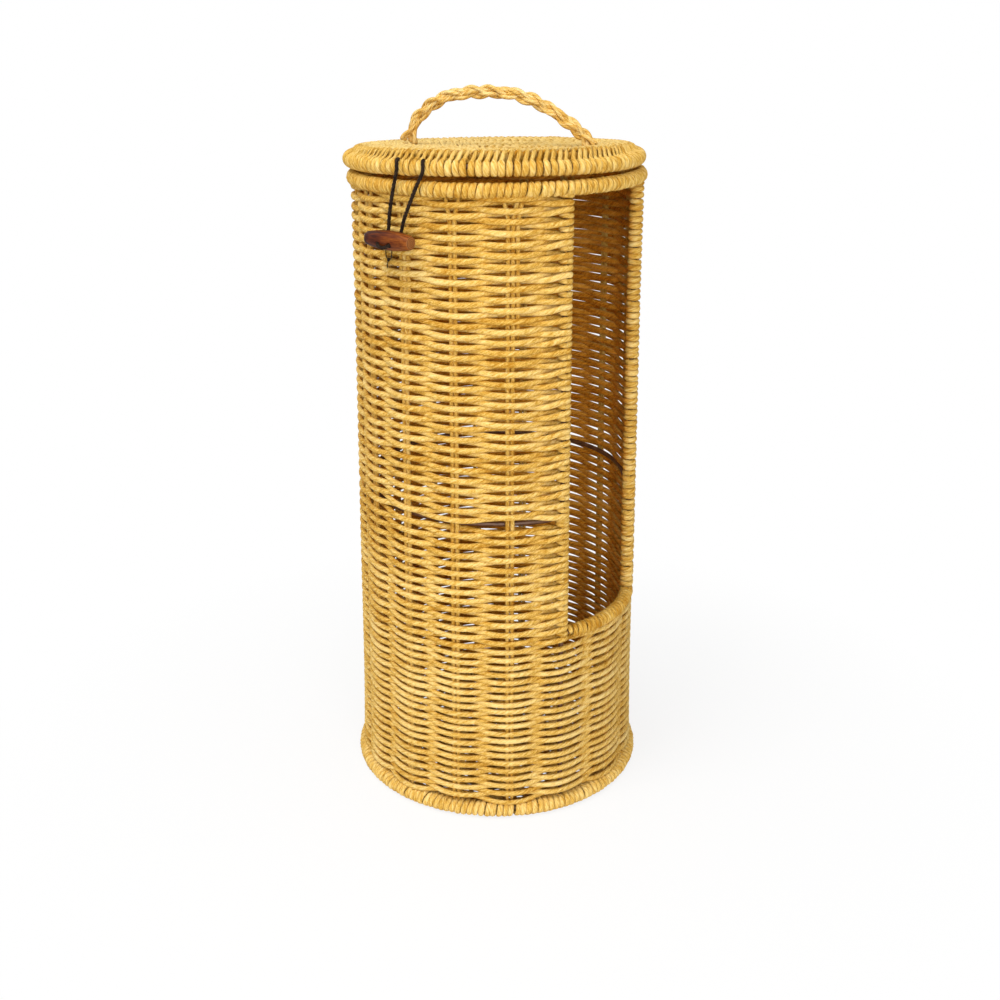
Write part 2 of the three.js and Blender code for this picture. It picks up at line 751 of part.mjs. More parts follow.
backStakeAzimuths().forEach((azimuth, index) => {
  const name = `stake_${String(index + 1).padStart(2, "0")}`;
  basket.add(sub(name, stake(azimuth, stakeTop), ROPE_DARK));
});

basket.add(
  sub("top_hoop", hoop(STAKE_RADIUS, topHoopHeight), WIRE_BROWN),
  sub("top_rim_wrap", topRim(), ROPE),
  sub("hinge_tie_left", hingeTie(tieAzimuths[1]), ROPE),
  sub("hinge_tie_right", hingeTie(tieAzimuths[0]), ROPE),
  sub("catch_loop", catchLoop(), CORD_BROWN),
);

const lid = new THREE.Group();
lid.add(
  sub("lid_panel", tipped(lidPanel()), ROPE),
  sub("lid_spokes", tipped(spokes(lidPanelRadius, lidPanelTop - LID_THICKNESS)), ROPE_DARK),
  sub("lid_hoop", tipped(hoop(lidRimRadius, lidRimHeight)), WIRE_BROWN),
  sub("lid_rim_wrap", tipped(lidRim()), ROPE),
  sub("handle", tipped(handle()), ROPE),
  sub("cord_root_left", tipped(cordRoot(CORD_ROOTS[0])), CORD_BROWN),
  sub("cord_root_right", tipped(cordRoot(CORD_ROOTS[1])), CORD_BROWN),
);

const closure = new THREE.Group();
closure.add(
  sub("closure_cord", closureCord(), CORD_BROWN),
  sub("toggle", toggle(), TOGGLE_WOOD),
);

const part = new THREE.Group();
part.add(basket, lid, closure);

export default part;
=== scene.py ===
"""Looks of a basket for toilet rolls, woven from paper rope, built round its CAD frame.

Sizes are in millimetres until a mesh is made; the camera and the lamps are placed in metres. An
azimuth is in degrees from -Y, turning to +X.
"""

import math

import bpy
import numpy as np
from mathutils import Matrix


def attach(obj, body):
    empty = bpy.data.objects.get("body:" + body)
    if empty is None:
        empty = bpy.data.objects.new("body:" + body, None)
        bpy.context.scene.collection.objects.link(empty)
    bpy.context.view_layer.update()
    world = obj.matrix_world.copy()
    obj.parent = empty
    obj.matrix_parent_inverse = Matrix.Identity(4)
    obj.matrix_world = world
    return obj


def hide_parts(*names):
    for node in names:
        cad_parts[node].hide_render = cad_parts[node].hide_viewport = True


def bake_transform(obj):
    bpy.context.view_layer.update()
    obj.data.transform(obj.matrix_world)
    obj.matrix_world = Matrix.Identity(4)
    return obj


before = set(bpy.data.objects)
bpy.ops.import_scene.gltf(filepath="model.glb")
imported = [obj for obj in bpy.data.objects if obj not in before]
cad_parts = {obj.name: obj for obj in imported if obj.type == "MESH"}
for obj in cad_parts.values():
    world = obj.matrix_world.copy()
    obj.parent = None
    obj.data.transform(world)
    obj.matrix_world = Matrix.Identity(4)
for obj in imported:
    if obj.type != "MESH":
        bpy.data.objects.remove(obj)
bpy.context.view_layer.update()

MM = 0.001
UP = (0, 0, 1)
SEED = 5
chance = np.random.default_rng(SEED)

# Camera, fitted to the photograph
CAMERA_PLACE = (0.4312, -0.5827, 0.44)
CAMERA_AZIMUTH = 36.5
CAMERA_PITCH = 18.35
LENS = 45.43
SHIFT = (0.003, -0.05)

# Lamps: name, power, size, place and colour, all aimed at one place in the basket
WHITE = (1, 1, 1)
WARM_WHITE = (1, 0.985, 0.96)
LAMPS = (
    ("key", 20, 0.8, (-0.2, -1, 1.9), WARM_WHITE),
    ("side", 14.5, 1, (0.98, -1.05, 0.75), WHITE),
    ("top", 5, 0.8, (0.1, -0.35, 1.9), WARM_WHITE),
)
LAMP_AIM = (0, 0, 0.2)
WORLD_LIGHT = 0.42

# Floor, with the distances in metres between which its shadow fades to white
FLOOR_REACH = 3000
FLOOR_LEVEL = -0.2
FLOOR_GREY = (0.8, 0.8, 0.8)
FLOOR_FADE = (0.1, 0.34)
FLOOR_GLOW = 0.82

# Stakes of the wall. A place along a row counts them: 0 is the window's left post, 1 the stake
# below the window, 2 the right post and BAYS the left post again.
WALL_RADIUS = 79
POST_LEFT = 63.5
WINDOW_STAKE = 90
POST_RIGHT = 116.5
RIGHT_PLACE = 2
BACK_BAYS = 14
BAYS = RIGHT_PLACE + BACK_BAYS
BACK_BAY = (360 - POST_RIGHT + POST_LEFT) / BACK_BAYS
STAKES = [POST_LEFT, WINDOW_STAKE, POST_RIGHT]
STAKES += [POST_RIGHT + BACK_BAY * i for i in range(1, BACK_BAYS)]
STAKES += [POST_LEFT + 360]
STAKE_WIDE = 2.5
STAKE_THICK = 2.4
STAKE_OFFSET = 1.32
STAKE_SPREAD = 2.6
STAKE_FOOT = 7
THIRD_OFFSET = 3.9
THIRD_LENGTH = (70, 110)

# Rows of the weave
ROW_SWING = 2
ROW_SHARPNESS = 0.8
ROW_WIDE = 3.45
ROW_CROSSING = 3.15
ROW_THICK = 3
ROW_SAG = 0.8
ROW_UNEVEN = 0.03
FLOAT_UNEVEN = 0.22
LONG_WAVE = 0.35
SHORT_WAVE = 0.25
BAY_STEPS = 10
RING_START = 9
LOWER_FINENESS = 0.92

# How much closer the rows lie at the back, farther round it and beside the window's view
BACK_PACKING = 0.025
FAR_PACKING = 0.05
SIDE_PACKING = 0.17

# Bands of rows: bottom, top and the number of rows
LOWER_BAND = (9.2, 110.3, 41)
MIDDLE_BAND = (110.6, 183.2, 26)
UPPER_BAND = (185.8, 361, 62)

# The wall widens a little toward its foot, and its upper edge leans a little to one side
FLARE = 2.8
FLARE_TOP = 300
FOOT_FLARE = 1.2
FOOT_TOP = 75
RIM_LEAN = 0.7
LEAN_START = 300
LEAN_REACH = 60

# About mid height the rings of the wall tip a little to the front
DIP = 3
DIP_LEVEL = 150
DIP_REACH = 75

# Middle hoop. The rows part from it past one azimuth, where it shows, and close up elsewhere.
MID_HOOP_RADIUS = 75.95
MID_HOOP_HEIGHT = 184.5
HOOP_SHOWS = 366
HOOP_PARTED = 0.8
HOOP_CLOSED = -0.8
HOOP_REACH = 5
WIRE = 2.8

# Window. Near a post, measured in bays, the rows draw together to turn round it.
SILL_HEIGHT = 115.2
SILL_BULGE = 1.4
SILL_TUBE = 8.4
SILL_WRAPS = 21
SILL_INSET = 3.4
POST_TURN = 2.65
POST_REACH = 0.55

# Rims: radius and height of the hoop's middle, size across the winding, and turns
BASE_RIM = (80.7, 3.8, 8.6, 155)
TOP_RIM = (80.4, 363.9, 8.3, 140)
WRAP_THICK = 2.3
WRAP_WIDE = 3.7
WRAP_STEPS = 14
WRAP_START = 200

# Lid: it is tipped by its rock, and its weave sags, bows and swells by these heights
LID_RIM_RADIUS = 80.6
LID_RIM_HEIGHT = 374.5
LID_RIM_TUBE = 8.8
LID_RIM_STRANDS = 133
LID_CREST = LID_RIM_HEIGHT + LID_RIM_TUBE / 2
LID_TOP = 380.4
LID_THICKNESS = 5.2
LID_ROCK = 2.2
LID_SLIP = (-1.8, -0.1)
LID_SAG = 0.8
BOW_AZIMUTH = 36
BOW_SPREAD = 40
BOW_RISE = -0.5
BORDER_SWELL = 4.3
SWELL_EDGE = 4.5
SWELL_TOP = 74
SWELL_REACH = 34

# Ropes of the lid's edge: widths on the hoop and past it, where they run in under the weave
BORDER_WIDE = 3.75
BORDER_NARROWING = (3.45, 2.8)
BORDER_TAIL = (2.2, 2, 2.05, 2.4, 2.8, 2.8)
BORDER_INWARD = (1.3, 2.6, 4, 5.4, 7, 9.5)
BORDER_RISE = (0.3, 0.55, 0.4, -0.9, -1.8, -2.2)

# Woven discs of the base and the lid, round a coiled hub
BASE_THICKNESS = 5.2
BASE_EDGE = 79.2
LID_EDGE = 76
HUB_EDGE = 12.4
HUB_TURNS = 5
HUB_PITCH = 2.3
SPOKES = 32
SPOKE_WIDE = 3
SPOKE_THICK = 1.5
SPARSE_WITHIN = 34
DISC_PITCH = 2.85
DISC_SHARPNESS = 1.3
DISC_THICK = 2.1
TWINE_EDGE = 75.4
TWINE_PITCH = 3.5
TWINE_LENGTH = 9
TWINE_SWING = 1.2

# Handle, from foot to foot as distance along it and height over the lid rim's crest
HANDLE_AZIMUTH = 109
HANDLE_CENTRE = (-3.5, 4)
HANDLE_ROUTE = [(-52.6, 0.4), (-51.4, 4.9), (-49.6, 10.2), (-45, 16.3), (-36.3, 23)]
HANDLE_ROUTE += [(-28.3, 26.5), (-17.4, 28.5), (-6, 29.2), (7.3, 28.6), (17.1, 26.4)]
HANDLE_ROUTE += [(27, 22.4), (37, 16.8), (46.6, 10), (52.6, 5.1), (55.2, 0.8)]
PLAIT_LENGTH = 38
PLAIT_SIDE = 2.05
PLAIT_DEPTH = 1.15
PLAIT_ROLL = 24
LEFT_FOOT = 13
RIGHT_FOOT = 11

# Toggle
TOGGLE_AZIMUTH = -2.2
TOGGLE_HEIGHT = 337.1
TOGGLE_RADIUS = 89.3
TOGGLE_LENGTH = 31
TOGGLE_DIAMETER = 10.4
TOGGLE_END_DIAMETER = 6.8
BARREL_SIDES = 40
BARREL_EDGE = 42
HOLE_RISE = 40
HOLE_DROP = 20
HOLES_BACK = (-4.6, 4.6)
HOLES_FRONT = (-3.9, 3.9)
HOLE_RADIUS = 1.45
DRILL_PAST = 4

# Its cord. Over the rim it goes by an angle on the rim, a distance from the hoop and an azimuth.
CORD = 2.1
CORD_ROOTS = (0.2, 10.9)
CORD_ROOT_RADIUS = 5.75
CORD_TOP = 375.6
OVER_RIM = ((42, 3.6, 0.7), (34, 4.7, 0.5), (24, 5.4, 0.3), (12, CORD_ROOT_RADIUS, 0.1))
IN_HOLE = (0.06, 0.3, 0.7, 1)
CORD_BEND = 2

# Catch thread, as azimuth and height on the wall
THREAD = 0.7
THREAD_TAIL = [(-8.3, 320.8), (-8.2, 323.1), (-7.2, 325.5)]
THREAD_LOOP = [(-7.2, 325.6), (-8.5, 326.3), (-9.1, 328.2), (-9, 331.5), (-8.4, 335.1)]
THREAD_LOOP += [(-7.1, 337.9), (-5.8, 335.1), (-5.3, 331.5), (-5.3, 328.2), (-5.9, 326.3)]
THREAD_LOOP += THREAD_LOOP[:1]
KNOT_RADIUS = 0.62
KNOT_TURNS = 2.3

# Hinge ties, and the radius and two heights of places at the hinge, given with the ties' bodies
TIE_AZIMUTHS = {"hinge_tie_right": 169.5, "hinge_tie_left": 190.5}
TIE_RADIUS = 80.5
TIE_REACH = 4.95
TIE_LANE = 2.65
TIE_WIDE = 2.7
TIE_THICK = 1.1
HINGE_RADIUS = 83.5
HINGE_LOW = 366.5
HINGE_HIGH = 371.5

# Ropes: how they twist, and how much their lightness and their creases differ
ROPE_TWIST = 0.34
PLAIT_TWIST = 0.5
CORD_TWIST = 2.0
END_NARROWING = 0.55
LAY_STRETCH = 0.11
LAY_SHIFT = 60
TONE = 0.5
TONE_UNEVEN = 0.055
TONE_WANDER = 0.08
TONE_LENGTH = 14

# Colours, each from dark to light
STRAW = ((0.5, 0.22, 0.016), (0.76, 0.46, 0.088), (0.97, 0.71, 0.27))
# Painted shade: the rope of the stakes, the base and the lid's underside, a little darker and more
# orange than STRAW because those pieces lie in shade
SHADED_INNER_STRAW = ((0.48, 0.2, 0.016), (0.73, 0.42, 0.07), (0.93, 0.66, 0.22))
HANDLE_STRAW = ((0.42, 0.17, 0.014), (0.76, 0.46, 0.1), (0.97, 0.74, 0.33))
CORD_BROWN = ((0.01, 0.006, 0.004), (0.032, 0.019, 0.013), (0.08, 0.052, 0.036))
THREAD_BROWN = ((0.025, 0.016, 0.01), (0.07, 0.047, 0.026), (0.2, 0.14, 0.075))
LACQUER_BROWN = ((0.085, 0.035, 0.014), (0.17, 0.08, 0.035))
WOOD_BROWN = ((0.03, 0.004, 0.001), (0.095, 0.018, 0.003), (0.25, 0.068, 0.009))
END_GRAIN = ((0.14, 0.045, 0.012), (0.32, 0.125, 0.035))

# Painted shade on the ropes' inner side: their colour is multiplied by this tint, which makes it
# darker and more orange there
INNER_SHADE_TINT = (1, 0.63, 0.16)


# Geometry
def polar(radius, azimuth, height):
    """A point, or several, from the radius, the azimuth and the height."""
    turn = np.radians(azimuth)
    radius, turn, height = np.broadcast_arrays(radius, turn, height)
    return np.stack([radius * np.sin(turn), -radius * np.cos(turn), height], -1)


def onward(azimuth):
    """The level direction in which the azimuth grows."""
    turn = np.radians(azimuth)
    return np.stack([np.cos(turn), np.sin(turn), np.zeros_like(turn)], -1)


def turning(angle, first, second):
    """Directions at angles, in radians, that turn from the first one to the second."""
    return np.cos(angle)[:, None] * first + np.sin(angle)[:, None] * second


def unit(vectors):
    return vectors / np.maximum(np.linalg.norm(vectors, axis=-1, keepdims=True), 1e-9)


def ease(share):
    """Goes smoothly from 0 to 1 as the share does."""
    share = np.clip(share, 0, 1)
    return share * share * (3 - 2 * share)


def wander(count, spacing, size):
    """A smooth random line: count values, with a new random value every so many of them."""
    knots = chance.normal(0, size, int(count / spacing) + 3)
    return np.interp(np.arange(count) / spacing, np.arange(len(knots)), knots)


def curve(points, count):
    """A smooth path through the points, with count points spread evenly along it."""
    p = np.asarray(points, float)
    p = np.vstack([2 * p[0] - p[1], p, 2 * p[-1] - p[-2]])
    t = np.linspace(0, 1, 16, endpoint=False)[:, None]
    fine = []
    for a, b, c, d in zip(p, p[1:], p[2:], p[3:]):
        bend = 2 * a - 5 * b + 4 * c - d
        fine.append(0.5 * (2 * b + (c - a) * t + bend * t**2 + (3 * b - a - 3 * c + d) * t**3))
    fine = np.vstack([*fine, p[-2:-1]])
    along = distances(fine)
    at = np.linspace(0, along[-1], count)
    return np.stack([np.interp(at, along, fine[:, axis]) for axis in range(3)], -1)


def distances(path):
    """How far along the path each of its points is."""
    return np.concatenate([[0], np.cumsum(np.linalg.norm(np.diff(path, axis=0), axis=1))])


def wall_radius(height):
    height = np.asarray(height)
    foot = FOOT_FLARE * np.clip(1 - height / FOOT_TOP, 0, 1) ** 2
    return WALL_RADIUS + FLARE * np.clip(1 - height / FLARE_TOP, 0, 1) + foot


def sill_radius(azimuth):
    """The sill stands a little proud of the wall in its middle."""
    share = (azimuth - POST_LEFT) / (POST_RIGHT - POST_LEFT)
    return wall_radius(SILL_HEIGHT) + SILL_BULGE * np.sin(np.pi * share)


def lean(azimuth):
    """How much higher the upper edge is at an azimuth: most on the camera's right."""
    return RIM_LEAN * np.sin(np.radians(azimuth - CAMERA_AZIMUTH))


def dip(azimuth, level):
    """How much lower a level runs at an azimuth: about mid height the rings tip to the front."""
    share = np.exp(-(((level - DIP_LEVEL) / DIP_REACH) ** 2))
    return DIP * np.cos(np.radians(azimuth - CAMERA_AZIMUTH)) * share


def behind(azimuth):
    """How far round an azimuth is: 0 in front and 1 on the side away from the camera."""
    return ease((azimuth - 110) / 30) * ease((340 - azimuth) / 30)


def tip_lid(points):
    """Tips level lid points as the lid stands: up at the front, resting on the rim at the back."""
    tilt = -math.atan(LID_ROCK / (2 * LID_RIM_RADIUS))
    y = points[:, 1]
    z = points[:, 2] - LID_RIM_HEIGHT
    tipped_y = y * math.cos(tilt) - z * math.sin(tilt)
    tipped_z = y * math.sin(tilt) + z * math.cos(tilt) + LID_RIM_HEIGHT
    return np.stack([points[:, 0], tipped_y, tipped_z], -1)


def settle_lid(points):
    """Tips the lid's woven pieces and lets them sag into the gap, least where the front bows.

    In front the weave also swells a little above the rim's crest.
    """
    tipped = tip_lid(points)
    radius = np.hypot(tipped[:, 0], tipped[:, 1])
    share = np.clip(radius / LID_RIM_RADIUS, 0, 1)
    gap = LID_ROCK / 2 * (1 - tipped[:, 1] / LID_RIM_RADIUS)
    azimuth = np.degrees(np.arctan2(tipped[:, 0], -tipped[:, 1]))
    bow = np.exp(-(((azimuth - BOW_AZIMUTH) / BOW_SPREAD) ** 2)) * share**2
    facing = np.cos(np.radians(azimuth - BOW_AZIMUTH))
    swell = BORDER_SWELL * np.clip(0.6 + 0.6 * facing, 0, 1)
    swell *= ease((LID_RIM_RADIUS - radius) / SWELL_EDGE)
    swell *= 1 - 0.8 * ease((SWELL_TOP - radius) / SWELL_REACH)
    swell *= ease((points[:, 2] - LID_RIM_HEIGHT) / 3)
    tipped[:, 2] += BOW_RISE * bow - LID_SAG * gap * (1 - bow) + swell + lean(azimuth) * share
    tipped[:, :2] += np.array(LID_SLIP)
    return tipped


# Meshes
def linked(name, data):
    """A new object in the scene."""
    obj = bpy.data.objects.new(name, data)
    bpy.context.collection.objects.link(obj)
    return obj


def mesh_object(name, points, quads, slot):
    mesh = bpy.data.meshes.new(name)
    mesh.vertices.add(len(points))
    mesh.vertices.foreach_set("co", (points * MM).astype(np.float32).ravel())
    mesh.loops.add(quads.size)
    mesh.loops.foreach_set("vertex_index", quads.ravel())
    mesh.polygons.add(len(quads))
    mesh.polygons.foreach_set("loop_start", np.arange(0, quads.size, 4))
    mesh.update(calc_edges=True)
    mesh.validate()
    mesh.shade_smooth()
    mesh.materials.append(materials[slot])
    return linked(name, mesh)


def store(mesh, name, values, kind="FLOAT"):
    layer = mesh.attributes.new(name, kind, "POINT")
    field = "value" if kind == "FLOAT" else "vector"
    layer.data.foreach_set(field, np.asarray(values, np.float32).ravel())


class Strands:
    """Rope strands swept along paths and gathered into one mesh.

    Each vertex keeps three attributes: lay, a place on the strand that turns with the rope's twist,
    tone, how light the rope is there, from random stretches and from painted light and shade, and
    inner, which is 1 on the wall's inner side, where the material paints shade.
    """

    def __init__(self):
        self.points = []
        self.quads = []
        self.lay = []
        self.tone = []
        self.inner = []
        self.count = 0

    def add(
        self, path, up, wide, thick, closed=False, sides=8, twist=ROPE_TWIST, shade=0, lined=False
    ):
        """Adds one strand: wide along up, and thick across both up and its own path.

        Shade, which is painted light and shade, is added to its tone point by point. A lined
        strand has an inner side, on which the material paints shade.
        """
        path = np.asarray(path, float)
        count = len(path)
        if closed:
            ahead = unit(np.roll(path, -1, 0) - np.roll(path, 1, 0))
        else:
            ahead = unit(np.gradient(path, axis=0))
        out = unit(np.cross(ahead, np.broadcast_to(up, path.shape)))
        top = np.cross(out, ahead)
        turn = np.arange(sides) * 2 * np.pi / sides
        wide = np.broadcast_to(wide, count).astype(float)
        thick = np.broadcast_to(thick, count).astype(float)
        if not closed:
            for ends in (wide, thick):
                ends[[0, -1]] *= END_NARROWING
        across = np.cos(turn)[None, :, None] * (wide / 2)[:, None, None] * top[:, None]
        depth = np.sin(turn)[None, :, None] * (thick / 2)[:, None, None] * out[:, None]
        along = distances(path)[:, None]
        angle = turn[None] + along * twist
        length = np.broadcast_to(along * LAY_STRETCH, angle.shape)
        lay = np.stack([np.cos(angle), np.sin(angle), length], -1)
        step = max(float(np.mean(np.diff(along[:, 0]))), 0.1)
        tone = TONE + chance.normal(0, TONE_UNEVEN)
        tone = tone + wander(count, TONE_LENGTH / step, TONE_WANDER) + shade
        inside = np.zeros((count, sides))
        if lined:
            facing = np.sum(out * unit(path * [1, 1, 0]), axis=1)
            inside = -np.sin(turn) * facing[:, None]
        self.points.append((path[:, None] + across + depth).reshape(-1, 3))
        self.lay.append(lay.reshape(-1, 3) + chance.uniform(0, LAY_SHIFT, 3))
        self.tone.append(np.repeat(tone, sides))
        self.inner.append(np.clip(inside, 0, 1).ravel())
        self.skin(count, sides, closed)
        self.count += count * sides

    def skin(self, count, sides, closed):
        """Faces between the rings of a strand, and over its two ends if it is open."""
        ring = np.arange(count if closed else count - 1)[:, None]
        side = np.arange(sides)[None]
        following = (ring + 1) % count
        neighbour = (side + 1) % sides
        corners = [ring * sides + side, ring * sides + neighbour]
        corners += [following * sides + neighbour, following * sides + side]
        quads = np.stack(np.broadcast_arrays(*corners), -1).reshape(-1, 4)
        self.quads.append(quads + self.count)
        if not closed:
            last = (count - 1) * sides
            for i in range(1, sides - 2, 2):
                near = np.array([[0, i + 2, i + 1, i]])
                far = np.array([[0, i, i + 1, i + 2]]) + last
                self.quads.append(np.vstack([near, far]) + self.count)

    def make(self, name, slot, reshape=None):
        """One object of all the strands, with its points put through reshape if that is given."""
        points = np.vstack(self.points)
        if reshape:
            points = reshape(points)
        obj = mesh_object(name, points, np.vstack(self.quads), slot)
        store(obj.data, "lay", np.vstack(self.lay), "FLOAT_VECTOR")
        store(obj.data, "tone", np.concatenate(self.tone))
        store(obj.data, "inner", np.concatenate(self.inner))
        return obj

    def piece(self, name, *nodes, slot="paper_rope", body="basket", reshape=None):
        finish_piece(self.make(name, slot, reshape), slot, body, *nodes)


def finish_piece(obj, slot, body, *nodes):
    """Attaches a piece to its body and hides the nodes it stands in for.

    When body holds two bodies and two places instead, those are not used and the piece's transform
    is only baked. The slot is not used.
    """
    if isinstance(body, str):
        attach(obj, body)
    else:
        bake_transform(obj)
    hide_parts(*nodes)


# Materials
materials = {}


def new_material(name):
    """Keeps a new material under its slot's name, and returns its nodes and their shader."""
    materials[name] = bpy.data.materials.new(name)
    materials[name].use_nodes = True
    tree = materials[name].node_tree
    return tree, tree.nodes["Principled BSDF"]


def feed(tree, node, inputs):
    """Sets some inputs of a node, each to a constant or to the output of another node."""
    for name, value in inputs.items():
        if isinstance(value, bpy.types.NodeSocket):
            tree.links.new(value, node.inputs[name])
        else:
            node.inputs[name].default_value = value


def new_node(tree, kind, inputs):
    node = tree.nodes.new(f"ShaderNode{kind}")
    feed(tree, node, inputs)
    return node


def attribute(tree, name, output):
    node = tree.nodes.new("ShaderNodeAttribute")
    node.attribute_name = name
    return node.outputs[output]


def noise(tree, vector, scale, detail=3.0, roughness=0.55):
    inputs = {"Vector": vector, "Scale": scale, "Detail": detail, "Roughness": roughness}
    return new_node(tree, "TexNoise", inputs).outputs["Fac"]


def arithmetic(tree, kind, first, second=0):
    node = new_node(tree, "Math", {0: first, 1: second})
    node.operation = kind
    return node.outputs[0]


def add_share(tree, value, other, share):
    """The value with a share of the other one added."""
    return arithmetic(tree, "ADD", value, arithmetic(tree, "MULTIPLY", other, share))


def ramp(tree, factor, places, colours):
    """The colours, each at its place, by the factor."""
    node = new_node(tree, "ValToRGB", {"Fac": factor})
    elements = node.color_ramp.elements
    while len(elements) < len(colours):
        elements.new(0.5)
    for element, place, colour in zip(elements, places, colours):
        element.position = place
        element.color = (*colour, 1)
    return node.outputs["Color"]


def mixed_colour(tree, factor, first, second, blend="MIX"):
    """The first colour turning into the second, or into their blend, with the factor."""
    node = tree.nodes.new("ShaderNodeMix")
    node.data_type = "RGBA"
    node.blend_type = blend
    feed(tree, node, {"Factor": factor, "A": first, "B": second})
    return node.outputs["Result"]


def bump(tree, height, shader, strength, distance):
    node = new_node(tree, "Bump", {"Height": height, "Strength": strength, "Distance": distance})
    feed(tree, shader, {"Normal": node.outputs["Normal"]})


def rope_material(name, colours, crease=1.9):
    """Twisted paper rope: twist creases with painted shade in them, and light and dark stretches.
    """
    tree, shader = new_material(name)
    lay = attribute(tree, "lay", "Vector")
    creases = noise(tree, lay, crease, 3.0, 0.6)
    fibres = noise(tree, lay, crease * 3.5, 2.0)
    # Painted shade in the creases: darker where the crease noise, which is also the bump, is low.
    # The fibres add real unevenness.
    light = add_share(tree, arithmetic(tree, "MULTIPLY", creases, 0.75), fibres, 0.25)
    # The tone adds random light and dark stretches, and the painted light and shade that strands
    # carry
    light = add_share(tree, light, attribute(tree, "tone", "Fac"), 0.45)
    straw = ramp(tree, light, (0.57, 0.71, 0.88), colours)
    # Painted shade: the wall's inner side is darkened and made more orange by the tint
    inner = attribute(tree, "inner", "Fac")
    inner_shaded = mixed_colour(tree, inner, straw, (*INNER_SHADE_TINT, 1), "MULTIPLY")
    feed(tree, shader, {"Base Color": inner_shaded, "Roughness": 0.6, "Specular IOR Level": 0.06})
    bump(tree, add_share(tree, creases, fibres, 0.45), shader, 1, 0.0009)


def wire_material():
    """Brown-lacquered wire with a slightly uneven coat."""
    tree, shader = new_material("frame_wire")
    places = tree.nodes.new("ShaderNodeTexCoord").outputs["Object"]
    coat = noise(tree, places, 420)
    colour = ramp(tree, coat, (0.3, 0.75), LACQUER_BROWN)
    feed(tree, shader, {"Base Color": colour, "Roughness": 0.42})
    bump(tree, coat, shader, 0.3, 0.0002)


def wood_material():
    """Stained wood, from the attribute grain: along the barrel, outwards and up, in millimetres."""
    tree, shader = new_material("toggle_wood")
    grain = attribute(tree, "grain", "Vector")
    stretched = new_node(tree, "Mapping", {"Vector": grain, "Scale": (0.07, 1, 1)})
    streaks = noise(tree, stretched.outputs["Vector"], 0.9, 4.0, 0.6)
    pores = noise(tree, stretched.outputs["Vector"], 5.0, 2.0)
    parts = new_node(tree, "SeparateXYZ", {0: grain})
    streaked = add_share(tree, arithmetic(tree, "MULTIPLY", streaks, 0.8), pores, 0.2)
    streaked = add_share(tree, streaked, parts.outputs["X"], 0.011)
    body = ramp(tree, streaked, (0.35, 0.52, 0.7), WOOD_BROWN)
    flat = new_node(tree, "CombineXYZ", {"X": parts.outputs["Y"], "Y": parts.outputs["Z"]})
    rings = new_node(tree, "TexWave", {"Vector": flat.outputs[0], "Scale": 0.32, "Distortion": 1.5})
    rings.wave_type = "RINGS"
    rings.rings_direction = "Z"
    end_grain = ramp(tree, rings.outputs["Fac"], (0.2, 0.8), END_GRAIN)
    from_middle = arithmetic(tree, "ABSOLUTE", parts.outputs["X"])
    outermost = arithmetic(tree, "GREATER_THAN", from_middle, TOGGLE_LENGTH / 2 - 0.45)
    colour = mixed_colour(tree, outermost, body, end_grain)
    feed(tree, shader, {"Base Color": colour, "Roughness": 0.45, "Specular IOR Level": 0.12})
    bump(tree, pores, shader, 0.25, 0.0002)


def build_materials():
    rope_material("paper_rope", STRAW)
    rope_material("paper_rope_inner", SHADED_INNER_STRAW)
    rope_material("handle_rope", HANDLE_STRAW, crease=1.3)
    rope_material("closure_cord", CORD_BROWN, crease=2.5)
    rope_material("catch_thread", THREAD_BROWN, crease=2.5)
    wire_material()
    wood_material()


# Wall
def row_swing(place, side, sharpness=ROW_SHARPNESS):
    """How far out a row is at a place, from -1 behind a stake to 1 in front."""
    swing = side * np.cos(np.pi * place)
    return np.tanh(sharpness * swing) / math.tanh(sharpness)


def row_height(azimuth, level, swing):
    """A row's level with the slow waves that neighbouring rows share.

    In front it sags where it passes outside a stake and rides up inside one. Left of the window the
    rows by the middle hoop leave it a gap.
    """
    turn = np.radians(azimuth)
    wave = LONG_WAVE * np.sin(2 * turn + level / 29)
    wave += SHORT_WAVE * np.sin(5 * turn - level / 17 + 1)
    wave -= dip(azimuth, level)
    front = 1 - behind(azimuth)
    sag = ROW_SAG * np.where(swing > 0, swing, 0.5 * swing) * front
    off_hoop = level - MID_HOOP_HEIGHT
    gap = HOOP_CLOSED + (HOOP_PARTED - HOOP_CLOSED) * ease((azimuth - HOOP_SHOWS) / 10)
    parted = math.copysign(math.exp(-((off_hoop / HOOP_REACH) ** 2)), off_hoop) * gap
    leaning = lean(azimuth) * ease((level - LEAN_START) / LEAN_REACH)
    return level + wave - sag + parted + leaning


def row_section(swing, azimuth):
    """A row's size along the wall's height, larger where the rows lie closer."""
    wide = ROW_CROSSING + (ROW_WIDE - ROW_CROSSING) * np.abs(swing)
    packed = behind(azimuth) * (BACK_PACKING + FAR_PACKING * ease((azimuth - 192) / 16))
    packed += SIDE_PACKING * ease((azimuth - 118) / 8) * ease((168 - azimuth) / 14)
    return wide * (1 + packed + wander(len(swing), 6, ROW_UNEVEN))


def float_offsets(place):
    """Small random heights of the floats, one for each stake, joined smoothly along the row."""
    lifts = chance.normal(0, FLOAT_UNEVEN, BAYS + 2)
    return np.interp(place, np.arange(BAYS + 2), lifts)


